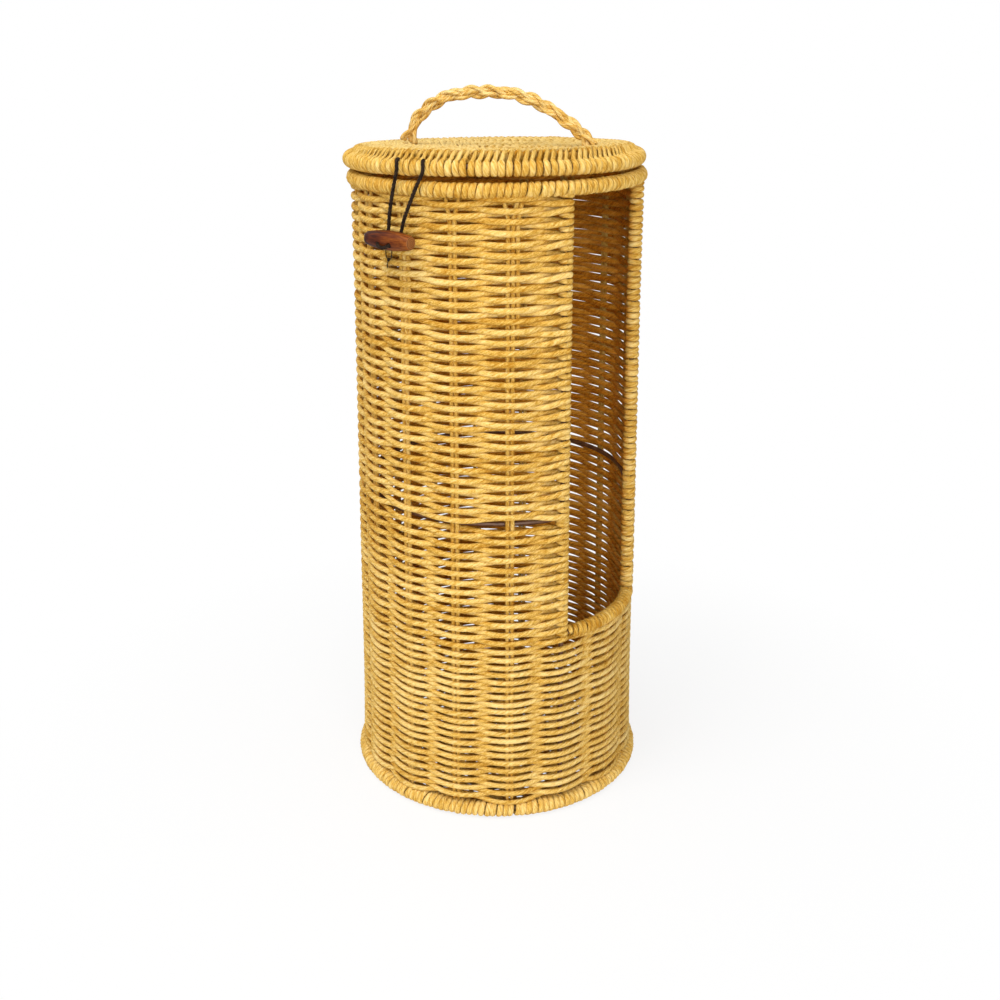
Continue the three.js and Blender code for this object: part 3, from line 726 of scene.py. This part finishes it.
def ring_rows(strands, bottom, top, rows):
    """Rows that go right round the wall, below the window. The two lowest hang onto the rim."""
    pitch = (top - bottom) / rows
    place = np.linspace(RING_START, RING_START + BAYS, BAYS * BAY_STEPS, endpoint=False)
    azimuth = np.interp(place % BAYS, np.arange(BAYS + 1), STAKES)
    closing = np.sin(np.pi * (place - RING_START) / BAYS) ** 0.5
    for row in range(rows):
        swing = row_swing(place, 1 if row % 2 else -1)
        height = row_height(azimuth, bottom + (row + 0.5) * pitch, swing)
        height += float_offsets(place - RING_START) * closing
        if row < 2:
            height -= (0.9 - 0.7 * row) * np.maximum(swing, 0)
        path = polar(wall_radius(height) + ROW_SWING * swing, azimuth, height)
        wide = LOWER_FINENESS * row_section(swing, azimuth) * (1 + 0.05 * behind(azimuth))
        thick = LOWER_FINENESS * ROW_THICK
        # Painted light and shade: a row is lighter where it passes in front of a stake, darker
        # behind one
        strands.add(path, UP, wide, thick, closed=True, shade=0.1 * swing, lined=True)


def post_bend(azimuth, onto, start, end, level):
    """A strand's turn round a post, from the angle start to end in degrees about it."""
    turn = np.radians(np.linspace(start, end, 9)[1:-1])
    height = level - dip(azimuth, level)
    centre = polar(wall_radius(height), azimuth, height)
    path = centre + POST_TURN * turning(turn, polar(1, azimuth, 0), onward(azimuth) * onto)
    path[:, 2] += chance.normal(0, 0.15)
    return path


def window_rows(strands, rings, bottom, top, rows):
    """Rows that turn back round the window's posts, in pairs, with short turns between them.

    At a post three pairs, which lie on each other there, and two short turns take five slots.
    """
    pitch = (top - bottom) / rows
    slot_pitch = (top - bottom) / (5 * rows / 6)
    place = np.linspace(RIGHT_PLACE, BAYS, BACK_BAYS * BAY_STEPS + 1)
    azimuth = np.interp(place, np.arange(BAYS + 1), STAKES)
    near = 1 - ease(np.minimum(place - RIGHT_PLACE, BAYS - place) / POST_REACH)
    for pair in range(rows // 2):
        slot = pair // 3 * 5 + 2 * (pair % 3)
        edge = bottom + (slot + 0.5) * slot_pitch
        low = bottom + (2 * pair + 0.5) * pitch
        runs = []
        widths = []
        for level, side in ((low, 1), (low + pitch, -1)):
            swing = row_swing(place, side)
            height = row_height(azimuth, level, swing) + float_offsets(place - RIGHT_PLACE)
            height = height * (1 - near) + (edge - dip(azimuth, edge)) * near
            reach = ROW_SWING * swing * (1 - near) + POST_TURN * side * near
            runs.append(polar(wall_radius(height) + reach, azimuth, height))
            widths.append(row_section(swing, azimuth))
        around_left = post_bend(POST_LEFT, 1, 0, 180, edge)
        around_right = post_bend(POST_RIGHT, -1, 180, 0, edge)
        path = np.vstack([runs[0], around_left, runs[1][::-1], around_right])
        turned = np.full(len(around_left), ROW_WIDE)
        wide = np.concatenate([widths[0], turned, widths[1][::-1], turned])
        start = BACK_BAYS * BAY_STEPS // 2
        path = np.roll(path, -start, 0)
        strands.add(path, UP, np.roll(wide, -start), ROW_THICK, closed=True, lined=True)
        if pair % 3 < 2:
            short_turns(rings, edge + slot_pitch)


def short_turns(rings, height):
    """One short turn of rope round each post."""
    for azimuth, strands in zip((POST_LEFT, POST_RIGHT), rings):
        around = np.linspace(0, 2 * np.pi, 16, endpoint=False)
        centre = polar(wall_radius(height), azimuth, height - dip(azimuth, height))
        path = centre + POST_TURN * turning(around, polar(1, azimuth, 0), onward(azimuth))
        path[:, 2] += 0.3 * np.sin(around + chance.uniform(0, 6))
        strands.add(path, UP, 3.1, ROW_THICK, closed=True)


def build_wall():
    lower = Strands()
    ring_rows(lower, *LOWER_BAND)
    lower.piece("weave_lower", "wall_lower")
    post_rings = (Strands(), Strands())
    for part, band in (("middle", MIDDLE_BAND), ("upper", UPPER_BAND)):
        weave = Strands()
        window_rows(weave, post_rings, *band)
        weave.piece(f"weave_{part}", f"wall_{part}")
    short_turns(post_rings, MID_HOOP_HEIGHT)
    for side, strands in zip(("left", "right"), post_rings):
        strands.piece(f"post_turns_{side}", f"post_wrap_{side}")


def build_stakes():
    """Pairs of ropes, every other pair with a third one beside it for some way down the wall."""
    nodes = ["window_stake"] + [f"stake_{i:02d}" for i in range(1, BACK_BAYS)]
    azimuths = [WINDOW_STAKE] + STAKES[RIGHT_PLACE + 1 : BAYS]
    strands = Strands()
    for index, azimuth in enumerate(azimuths):
        beside = onward(azimuth)
        top = LOWER_BAND[1] + 3 if index == 0 else TOP_RIM[1] - 2
        ropes = [(-STAKE_OFFSET, top, STAKE_FOOT), (STAKE_OFFSET, top, STAKE_FOOT)]
        if index % 2 == 1:
            ropes.append((THIRD_OFFSET, top, top - chance.uniform(*THIRD_LENGTH)))
        for along, high, low in ropes:
            height = np.linspace(low, high, max(6, int((high - low) / 6)))
            offset = along + wander(len(height), 4, 0.12)
            offset += math.copysign(STAKE_SPREAD, along) * ease((height - TOP_RIM[1] + 16) / 14)
            path = polar(wall_radius(height), azimuth, height) + offset[:, None] * beside
            strands.add(path, beside, STAKE_WIDE, STAKE_THICK)
    strands.piece("stakes", *nodes, slot="paper_rope_inner")


# Rims
def wound_hoop(strands, radius, height, across, turns, stretch=0, floor=None):
    """A rope wound round a hoop, as one long strand that closes on itself.

    With stretch the winding stands out that much farther, while its inner side stays.
    """
    count = turns * WRAP_STEPS
    part = np.arange(count) / WRAP_STEPS
    spread = WRAP_THICK / 2
    uneven = chance.normal(0, 0.05, turns).repeat(WRAP_STEPS)
    reach = across / 2 - spread + 0.1 * np.sin(part * 1.7) + uneven
    drift = wander(count, WRAP_STEPS * 0.5, 0.06)
    drift[-WRAP_STEPS:] *= np.linspace(1, 0, WRAP_STEPS)
    azimuth = WRAP_START + 360 * (part + drift) / turns
    around = 2 * np.pi * part
    ring = radius + stretch / 2 + (reach + stretch / 2) * np.cos(around)
    path = polar(ring, azimuth, height + reach * np.sin(around))
    if floor is None:
        path[:, 2] += lean(azimuth)
    else:
        path[:, 2] = np.maximum(path[:, 2], floor + spread)
    room = 2 * np.pi * ring / turns
    uneven = np.repeat(chance.normal(0, 0.04, turns), WRAP_STEPS)
    wide = np.minimum(room * 0.99, WRAP_WIDE) * (1 + uneven)
    strands.add(path, onward(azimuth), wide, WRAP_THICK, closed=True)


def build_rims():
    base = Strands()
    wound_hoop(base, *BASE_RIM, stretch=FLARE + FOOT_FLARE, floor=0)
    base.piece("base_rim", "base_rim_wrap")
    top = Strands()
    wound_hoop(top, *TOP_RIM)
    top.piece("top_rim", "top_rim_wrap")


def build_sill():
    """Short upright turns round the window's lower wire."""
    strands = Strands()
    reach = SILL_TUBE / 2 - WRAP_THICK / 2
    start = POST_LEFT + SILL_INSET
    step = (POST_RIGHT - POST_LEFT - 2 * SILL_INSET) / SILL_WRAPS
    count = SILL_WRAPS * WRAP_STEPS
    part = np.arange(count) / WRAP_STEPS
    azimuth = start + step * (part + wander(count, 9, 0.06))
    around = 2 * np.pi * part
    radius = sill_radius(azimuth) + reach * np.cos(around)
    height = SILL_HEIGHT - dip(azimuth, SILL_HEIGHT)
    path = polar(radius, azimuth, height + reach * np.sin(around))
    strands.add(path, onward(azimuth), 3, WRAP_THICK)
    strands.piece("sill_turns", "sill_wrap")


# Woven discs
def woven_disc(strands, outer, middle, lift, wide=2.75):
    """Rings of rope that go over one spoke and under the next, round all of them or every other."""
    rings = round((outer - HUB_EDGE) / DISC_PITCH)
    for index in range(rings):
        radius = HUB_EDGE + (index + 0.5) * (outer - HUB_EDGE) / rings
        used = SPOKES if radius > SPARSE_WITHIN else SPOKES // 2
        steps = used * (6 if radius > SPARSE_WITHIN else 8)
        place = np.linspace(0, used, steps, endpoint=False)
        swing = row_swing(place, 1 if index % 2 else -1, DISC_SHARPNESS)
        azimuth = 360 * place / used + 180
        path = polar(radius + wander(steps, 9, 0.1), azimuth, middle + lift * swing)
        strands.add(path, polar(1, azimuth, 0), wide, DISC_THICK, closed=True, sides=6)


def disc_spokes(strands, outer, height):
    """Spokes, every other of which starts farther out."""
    for index in range(SPOKES):
        azimuth = 360 * index / SPOKES + 180
        reach = np.linspace(3 if index % 2 == 0 else 32, outer, 16)
        spoke = polar(reach, azimuth, height)
        strands.add(spoke, onward(azimuth), SPOKE_WIDE, SPOKE_THICK, sides=6)


def disc_hub(strands, middle):
    """A tight coil at the middle of a disc."""
    turns = np.linspace(0, HUB_TURNS, 90)
    path = polar(0.8 + HUB_PITCH * turns, 360 * turns, middle)
    strands.add(path, polar(1, 360 * turns, 0), 2.4, 3.6, sides=6)


def build_base():
    middle = BASE_THICKNESS / 2
    strands = Strands()
    woven_disc(strands, BASE_EDGE, middle, 1.35, wide=3.4)
    disc_hub(strands, middle)
    strands.piece("base_weave", "base_panel", slot="paper_rope_inner")
    spokes = Strands()
    disc_spokes(spokes, BASE_EDGE, middle)
    spokes.piece("base_ribs", "base_spokes", slot="paper_rope_inner")


def build_lid():
    middle = LID_TOP - LID_THICKNESS / 2 - 1
    below = middle - 1.2
    strands = Strands()
    twined_rows(strands, LID_TOP - 1)
    disc_hub(strands, middle)
    strands.piece("lid_weave", "lid_panel", body="lid", reshape=settle_lid)
    spokes = Strands()
    disc_spokes(spokes, LID_EDGE, below)
    woven_disc(spokes, LID_EDGE, below, 0.9)
    slot = "paper_rope_inner"
    spokes.piece("lid_ribs", "lid_spokes", slot=slot, body="lid", reshape=settle_lid)
    border = Strands()
    for index in range(LID_RIM_STRANDS):
        border_strand(border, 360 * (index + chance.normal(0, 0.05)) / LID_RIM_STRANDS + 180)
    border.piece("lid_rim", "lid_rim_wrap", body="lid", reshape=settle_lid)


def border_strand(strands, azimuth):
    """One rope of the lid's edge: round the hoop from inside, then slanting in under the weave."""
    reach = LID_RIM_TUBE / 2 - WRAP_THICK / 2
    around = np.radians(np.linspace(-195, 84, 17))
    slant = chance.normal(0, 0.16)
    ring = LID_RIM_RADIUS + reach * np.cos(around)
    height = LID_RIM_HEIGHT + reach * np.sin(around)
    turn = azimuth + slant * np.sin(around)
    inward = np.array(BORDER_INWARD)
    slope = chance.uniform(0.45, 0.6) + 0.5 * math.sin(math.radians(azimuth - BOW_AZIMUTH))
    ring = np.concatenate([ring, LID_RIM_RADIUS - inward])
    height = np.concatenate([height, LID_RIM_HEIGHT + reach + np.array(BORDER_RISE)])
    turn = np.concatenate([turn, azimuth + np.degrees(inward * slope / LID_RIM_RADIUS) + slant])
    tail = chance.uniform(0.92, 1.12) * np.array(BORDER_TAIL)
    wide = np.concatenate([np.full(15, BORDER_WIDE), BORDER_NARROWING, tail])
    wide = wide * (1 + chance.normal(0, 0.04))
    wide[:6] *= np.linspace(0.86, 1, 6)
    strands.add(polar(ring, turn, height), onward(turn), wide, WRAP_THICK)


def twined_rows(strands, top):
    """Concentric rows of two ropes each, which twist round each other in short slanted floats."""
    rows = round((TWINE_EDGE - HUB_EDGE) / TWINE_PITCH)
    for row in range(rows):
        radius = TWINE_EDGE - (row + 0.5) * (TWINE_EDGE - HUB_EDGE) / rows
        twists = max(6, round(2 * np.pi * radius / TWINE_LENGTH))
        steps = twists * 10
        place = np.linspace(0, 2 * np.pi, steps, endpoint=False)
        azimuth = np.degrees(place) + 180
        drift = wander(steps, 25, 0.25)
        drift -= np.linspace(0, 1, steps) * (drift[-1] - drift[0])
        start = chance.uniform(0, 6)
        for phase in (0, np.pi):
            turn = place * twists + phase + start + drift
            height = top - 1.95 + TWINE_SWING * np.cos(turn) + wander(steps, 25, 0.08)
            height[-1] = height[0]
            path = polar(radius - TWINE_SWING * np.sin(turn), azimuth, height)
            out = polar(1, azimuth, 0)
            # Painted light and shade: lighter on the tops of the floats and darker where a rope
            # dips under the other, darker at the start of each float than at its end, and a little
            # darker overall
            shade = 0.4 * np.cos(turn) + 0.35 * np.sin(turn) - 0.1
            strands.add(path, out, 2.35, 1.9, closed=True, sides=6, shade=shade)


# Handle
def build_handle():
    """A plait of three strands, each of two ropes laid side by side, that spreads at its feet."""
    turn = math.radians(HANDLE_AZIMUTH)
    level = np.array([math.sin(turn), -math.cos(turn), 0])
    depth = np.array([-level[1], level[0], 0])
    centre = np.array([*HANDLE_CENTRE, LID_CREST])
    route = [centre + along * level + up * np.array(UP) for along, up in HANDLE_ROUTE]
    path = curve(route, 150)
    inplane = np.cross(depth, unit(np.gradient(path, axis=0)))
    length = distances(path)[-1]
    along = np.linspace(0, length, len(path))
    left_foot = 1 - ease(along / LEFT_FOOT)
    right_foot = 1 - ease((length - along) / RIGHT_FOOT)
    foot = np.maximum(left_foot, right_foot)
    strands = Strands()
    for lane in range(3):
        phase = 2 * np.pi * (along / PLAIT_LENGTH + lane / 3 + 0.1)
        spread = (lane - 1) * (3.8 * left_foot + 2.4 * right_foot)
        side = PLAIT_SIDE * np.sin(phase) * (1 - foot) + spread
        front = PLAIT_DEPTH * np.sin(2 * phase) * (1 - foot) + (1.5 - abs(lane - 1) * 2) * foot
        core = path + side[:, None] * inplane + front[:, None] * depth
        beside = unit(np.cross(depth, unit(np.gradient(core, axis=0))))
        roll = 2 * np.pi * (along / PLAIT_ROLL + lane / 3)
        for shift in (-0.95, 0.95):
            rope = core + shift * turning(roll, beside, depth)
            strands.add(rope, beside, 2.3, 2.4, twist=PLAIT_TWIST)
    strands.piece("handle_plait", "handle", slot="handle_rope", body="lid", reshape=tip_lid)


# Toggle and cords
def at_toggle(along, outwards, up):
    """Places by their distances from the toggle's middle."""
    radius = TOGGLE_RADIUS + np.asarray(outwards)
    middle = polar(radius, TOGGLE_AZIMUTH, TOGGLE_HEIGHT + np.asarray(up))
    return middle + np.multiply.outer(np.asarray(along), onward(TOGGLE_AZIMUTH))


def in_hole(index, share, past=0):
    """A place on the line of a hole through the toggle, from 0 at the back to 1 in front.

    A distance past that place moves it on along the hole.
    """
    half = TOGGLE_DIAMETER / 2
    rise = math.radians(HOLE_RISE)
    drop = math.radians(HOLE_DROP)
    back = np.array([HOLES_BACK[index], -half * math.cos(rise), half * math.sin(rise)])
    front = np.array([HOLES_FRONT[index], half * math.cos(drop), -half * math.sin(drop)])
    reach = share + past / np.linalg.norm(front - back)
    return at_toggle(*(back + reach * (front - back)))


def drill_rod(index):
    """A closed rod along a hole of the toggle."""
    start = in_hole(index, 0, -DRILL_PAST)
    end = in_hole(index, 1, DRILL_PAST)
    strands = Strands()
    side = np.cross(unit(end - start), UP)
    path = start + np.linspace(0, 1, 9)[:, None] * (end - start)
    strands.add(path, side, 2 * HOLE_RADIUS, 2 * HOLE_RADIUS, sides=24)
    quads = np.vstack(strands.quads)
    return mesh_object(f"drill_{index}", strands.points[0], quads, "toggle_wood")


def toggle_barrel():
    """The toggle's turned body, with edges eased at both ends."""
    half = TOGGLE_LENGTH / 2
    thin = TOGGLE_END_DIAMETER / 2
    ends = [(-half, 0.2), (-half, thin - 0.8), (-half + 0.25, thin - 0.25)]
    profile = list(ends)
    for share in np.linspace(-0.96, 0.96, 21):
        swell = (TOGGLE_DIAMETER - TOGGLE_END_DIAMETER) / 2 * (1 - share**2)
        profile.append((share * half, thin + swell))
    profile += [(-along, radius) for along, radius in reversed(ends)]
    along, radius = np.array(profile).T
    turn = np.arange(BARREL_SIDES) * 2 * np.pi / BARREL_SIDES
    outwards = radius[:, None] * np.cos(turn)
    up = radius[:, None] * np.sin(turn)
    points = at_toggle(np.broadcast_to(along[:, None], up.shape), outwards, up).reshape(-1, 3)
    shell = Strands()
    shell.skin(len(profile), BARREL_SIDES, False)
    barrel = mesh_object("toggle_barrel", points, np.vstack(shell.quads), "toggle_wood")
    barrel.data.flip_normals()
    return barrel


def build_toggle():
    barrel = toggle_barrel()
    drills = [drill_rod(0), drill_rod(1)]
    for drill in drills:
        modifier = barrel.modifiers.new(drill.name, "BOOLEAN")
        modifier.operation = "DIFFERENCE"
        modifier.solver = "EXACT"
        modifier.object = drill
    graph = bpy.context.evaluated_depsgraph_get()
    drilled = bpy.data.meshes.new_from_object(barrel.evaluated_get(graph))
    barrel.modifiers.clear()
    barrel.data = drilled
    for drill in drills:
        bpy.data.objects.remove(drill)
    drilled.shade_smooth()
    drilled.set_sharp_from_angle(angle=math.radians(BARREL_EDGE))
    places = np.empty(3 * len(drilled.vertices))
    drilled.vertices.foreach_get("co", places)
    offset = places.reshape(-1, 3) / MM - at_toggle(0, 0, 0)
    axes = np.stack([onward(TOGGLE_AZIMUTH), polar(1, TOGGLE_AZIMUTH, 0), UP])
    store(drilled, "grain", offset @ axes.T, "FLOAT_VECTOR")
    finish_piece(barrel, "toggle_wood", "closure", "toggle")


def plied(strands, path, across, plies, pitch):
    """A cord of several thin plies twisted together."""
    ahead = unit(np.gradient(path, axis=0))
    side = unit(np.cross(ahead, [0.3, 0.2, 0.93]))
    other = np.cross(ahead, side)
    along = distances(path)
    ply = across * 0.56
    for index in range(plies):
        angle = 2 * np.pi * (along / pitch + index / plies)
        core = path + turning(angle, side, other) * (across - ply) / 2
        strands.add(core, side, ply, ply, sides=6, twist=CORD_TWIST)


def cord_leg(index):
    """The cord's way from the lid's weave over the rim and down into a hole of the toggle."""
    foot = in_hole(index, 0)
    foot_radius = math.hypot(foot[0], foot[1])
    foot_azimuth = math.degrees(math.atan2(foot[0], -foot[1]))
    rim = LID_RIM_RADIUS + CORD_ROOT_RADIUS
    drop = CORD_TOP - foot[2]

    def leg(share, radius, height):
        azimuth = CORD_ROOTS[index] + share * (foot_azimuth - CORD_ROOTS[index])
        return polar(radius, azimuth, height)

    points = []
    for turn, reach, back in OVER_RIM:
        angle = math.radians(turn)
        radius = LID_RIM_RADIUS + reach * math.cos(angle)
        points.append(polar(radius, CORD_ROOTS[index] - back, CORD_TOP + reach * math.sin(angle)))
    points += [
        leg(0, rim, CORD_TOP),
        leg(0, rim, CORD_TOP - CORD),
        leg(0.1, rim, CORD_TOP - 0.16 * drop),
        leg(0.3, rim, CORD_TOP - 0.32 * drop),
        leg(0.6, rim - 0.2, CORD_TOP - 0.58 * drop),
        leg(0.86, foot_radius, CORD_TOP - 0.8 * drop),
        leg(0.98, foot_radius - 0.5, CORD_TOP - 0.93 * drop),
    ]
    points += [in_hole(index, share) for share in IN_HOLE]
    return points


def build_cord():
    """The closure's cord: over the lid's rim, down into one hole of the toggle and back by the
    other.
    """
    stitch = (in_hole(0, 1, CORD * 0.45) + in_hole(1, 1, CORD * 0.45)) / 2 - [0, 0, 0.9]
    route = [*cord_leg(0), stitch, *cord_leg(1)[::-1]]
    strands = Strands()
    plied(strands, curve(route, 200), CORD, 3, 6.5)
    hang = polar(LID_RIM_RADIUS + CORD_ROOT_RADIUS, sum(CORD_ROOTS) / 2, CORD_TOP) * MM
    ends = [tuple(hang + [0, 0, rise * MM]) for rise in (CORD_BEND, -CORD_BEND)]
    nodes = ("closure_cord", "cord_root_left", "cord_root_right")
    strands.piece("toggle_cord", *nodes, slot="closure_cord", body=("lid", "closure", *ends))


def on_weave(azimuth, height):
    """A place for the thread on the outside of the weave, which stands out at the stakes."""
    share = (azimuth - (STAKES[13] - 360)) / BACK_BAY % 1
    reach = 1.3 + 2.4 * abs(math.cos(math.pi * share))
    return polar(WALL_RADIUS + reach + THREAD, azimuth, height)


def build_thread():
    """The catch thread: a loop, its tail and a coiled knot between them."""
    thread = Strands()
    plied(thread, curve([on_weave(*at) for at in THREAD_LOOP], 70), THREAD, 2, 2.6)
    plied(thread, curve([on_weave(*at) for at in THREAD_TAIL], 16), THREAD, 2, 2.6)
    azimuth = THREAD_LOOP[0][0]
    around = np.linspace(0, 2 * KNOT_TURNS * np.pi, 60)
    circle = turning(around, onward(azimuth), polar(1, azimuth, 0))
    coil = on_weave(*THREAD_LOOP[0]) + KNOT_RADIUS * circle
    coil[:, 2] += np.linspace(-0.7, 0.7, 60)
    thread.add(coil, UP, 0.75, 0.75, sides=6, twist=CORD_TWIST)
    thread.piece("catch_thread", "catch_loop", slot="catch_thread")


def build_ties():
    """Three turns of rope round both rims at each hinge tie."""
    low = TOP_RIM[1]
    high = LID_RIM_HEIGHT - LID_ROCK / 2
    half = np.linspace(0, np.pi, 13)
    over = np.stack([TIE_REACH * np.cos(half), high + TIE_REACH * np.sin(half)], -1)
    under = np.stack([-TIE_REACH * np.cos(half), low - TIE_REACH * np.sin(half)], -1)
    outline = np.vstack([over, under])
    for node, azimuth in TIE_AZIMUTHS.items():
        strands = Strands()
        side = onward(azimuth)
        for lane in (-1, 0, 1):
            path = polar(TIE_RADIUS + outline[:, 0], azimuth, outline[:, 1])
            path = path + lane * TIE_LANE * side
            path = path + wander(len(path), 5, 0.08)[:, None] * side
            strands.add(path, side, TIE_WIDE, TIE_THICK, closed=True)
        ends = [tuple(polar(HINGE_RADIUS, azimuth, at) * MM) for at in (HINGE_LOW, HINGE_HIGH)]
        strands.piece(node.replace("hinge", "rope"), node, body=("basket", "lid", *ends))


# Wires
def wire(name, path, up, node, closed=False):
    strands = Strands()
    strands.add(path, up, WIRE, WIRE, closed=closed, sides=12)
    strands.piece(name, node, slot="frame_wire")


def build_wires():
    """The frame's wires: those that follow the wall's flare are new, the rest are the CAD's own."""
    radius = MID_HOOP_RADIUS + (wall_radius(MID_HOOP_HEIGHT) - WALL_RADIUS)
    azimuth = np.linspace(POST_RIGHT + 3.2, POST_LEFT + 360 - 3.2, 150)
    height = MID_HOOP_HEIGHT - dip(azimuth, MID_HOOP_HEIGHT)
    wire("mid_wire", polar(radius, azimuth, height), UP, "mid_hoop")
    azimuth = np.linspace(0, 360, 150, endpoint=False)
    low = BASE_RIM[1]
    foot = polar(wall_radius(low), azimuth, low)
    wire("foot_wire", foot, UP, "base_hoop", closed=True)
    azimuth = np.linspace(POST_LEFT, POST_RIGHT, 40)
    height = SILL_HEIGHT - dip(azimuth, SILL_HEIGHT)
    sill = polar(sill_radius(azimuth), azimuth, height)
    wire("sill_rod", sill, UP, "sill_wire")
    for side, azimuth in (("left", POST_LEFT), ("right", POST_RIGHT)):
        height = np.linspace(BASE_RIM[1] + 3, TOP_RIM[1] - 3, 40)
        post = polar(wall_radius(height), azimuth, height)
        wire(f"post_rod_{side}", post, onward(azimuth), f"window_post_{side}")
    for name in ("top_hoop", "lid_hoop"):
        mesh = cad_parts[name].data
        mesh.materials.clear()
        mesh.materials.append(materials["frame_wire"])


# Stage
def build_stage():
    scene = bpy.context.scene
    camera = linked("camera", bpy.data.cameras.new("camera"))
    camera.location = CAMERA_PLACE
    camera.rotation_euler = (math.radians(90 - CAMERA_PITCH), 0, math.radians(CAMERA_AZIMUTH))
    camera.data.lens = LENS
    camera.data.shift_x, camera.data.shift_y = SHIFT
    camera.data.clip_start = 0.01
    scene.camera = camera
    scene.view_settings.view_transform = "Standard"
    build_world(scene)
    build_floor()
    for lamp in LAMPS:
        add_lamp(*lamp)


def build_world(scene):
    """A white backdrop that gives the object only part of its light."""
    world = bpy.data.worlds.new("studio")
    scene.world = world
    world.use_nodes = True
    tree = world.node_tree
    background = tree.nodes["Background"]
    path = tree.nodes.new("ShaderNodeLightPath")
    seen = path.outputs["Is Camera Ray"]
    for output in ("Is Glossy Ray", "Is Transmission Ray"):
        seen = arithmetic(tree, "MAXIMUM", seen, path.outputs[output])
    strength = add_share(tree, WORLD_LIGHT, seen, 1 - WORLD_LIGHT)
    feed(tree, background, {"Strength": strength, "Color": (*WHITE, 1)})


def build_floor():
    """A pale floor that shows white to the camera and keeps a soft shadow of the object."""
    corners = [(-1, -1), (1, -1), (1, 1), (-1, 1)]
    corners = np.array([(x * FLOOR_REACH, y * FLOOR_REACH, FLOOR_LEVEL) for x, y in corners])
    tree, shader = new_material("floor")
    feed(tree, shader, {"Base Color": (*FLOOR_GREY, 1), "Roughness": 0.9})
    glow = new_node(tree, "Emission", {"Color": (*WHITE, 1)})
    path = tree.nodes.new("ShaderNodeLightPath")
    places = tree.nodes.new("ShaderNodeTexCoord").outputs["Object"]
    distance = new_node(tree, "VectorMath", {0: places})
    distance.operation = "LENGTH"
    near, far = FLOOR_FADE
    fade = {"From Min": near, "From Max": far, "To Min": FLOOR_GLOW}
    faded = new_node(tree, "MapRange", {"Value": distance.outputs["Value"], **fade})
    share = arithmetic(tree, "MULTIPLY", path.outputs["Is Camera Ray"], faded.outputs["Result"])
    blend = new_node(tree, "MixShader", {"Fac": share, 1: shader.outputs[0], 2: glow.outputs[0]})
    feed(tree, tree.nodes["Material Output"], {"Surface": blend.outputs[0]})
    mesh_object("floor", corners, np.array([[0, 1, 2, 3]]), "floor")


def add_lamp(name, power, size, place, colour):
    lamp = bpy.data.lights.new(name, "AREA")
    lamp.energy = power
    lamp.size = size
    lamp.color = colour
    obj = linked(name, lamp)
    obj.location = place
    heading = unit(np.array(LAMP_AIM) - np.array(place))
    pitch = math.acos(-heading[2])
    obj.rotation_euler = (pitch, 0, math.atan2(-heading[0], heading[1]))


build_materials()
build_stage()
build_wall()
build_stakes()
build_rims()
build_sill()
build_base()
build_lid()
build_handle()
build_toggle()
build_cord()
build_thread()
build_ties()
build_wires()
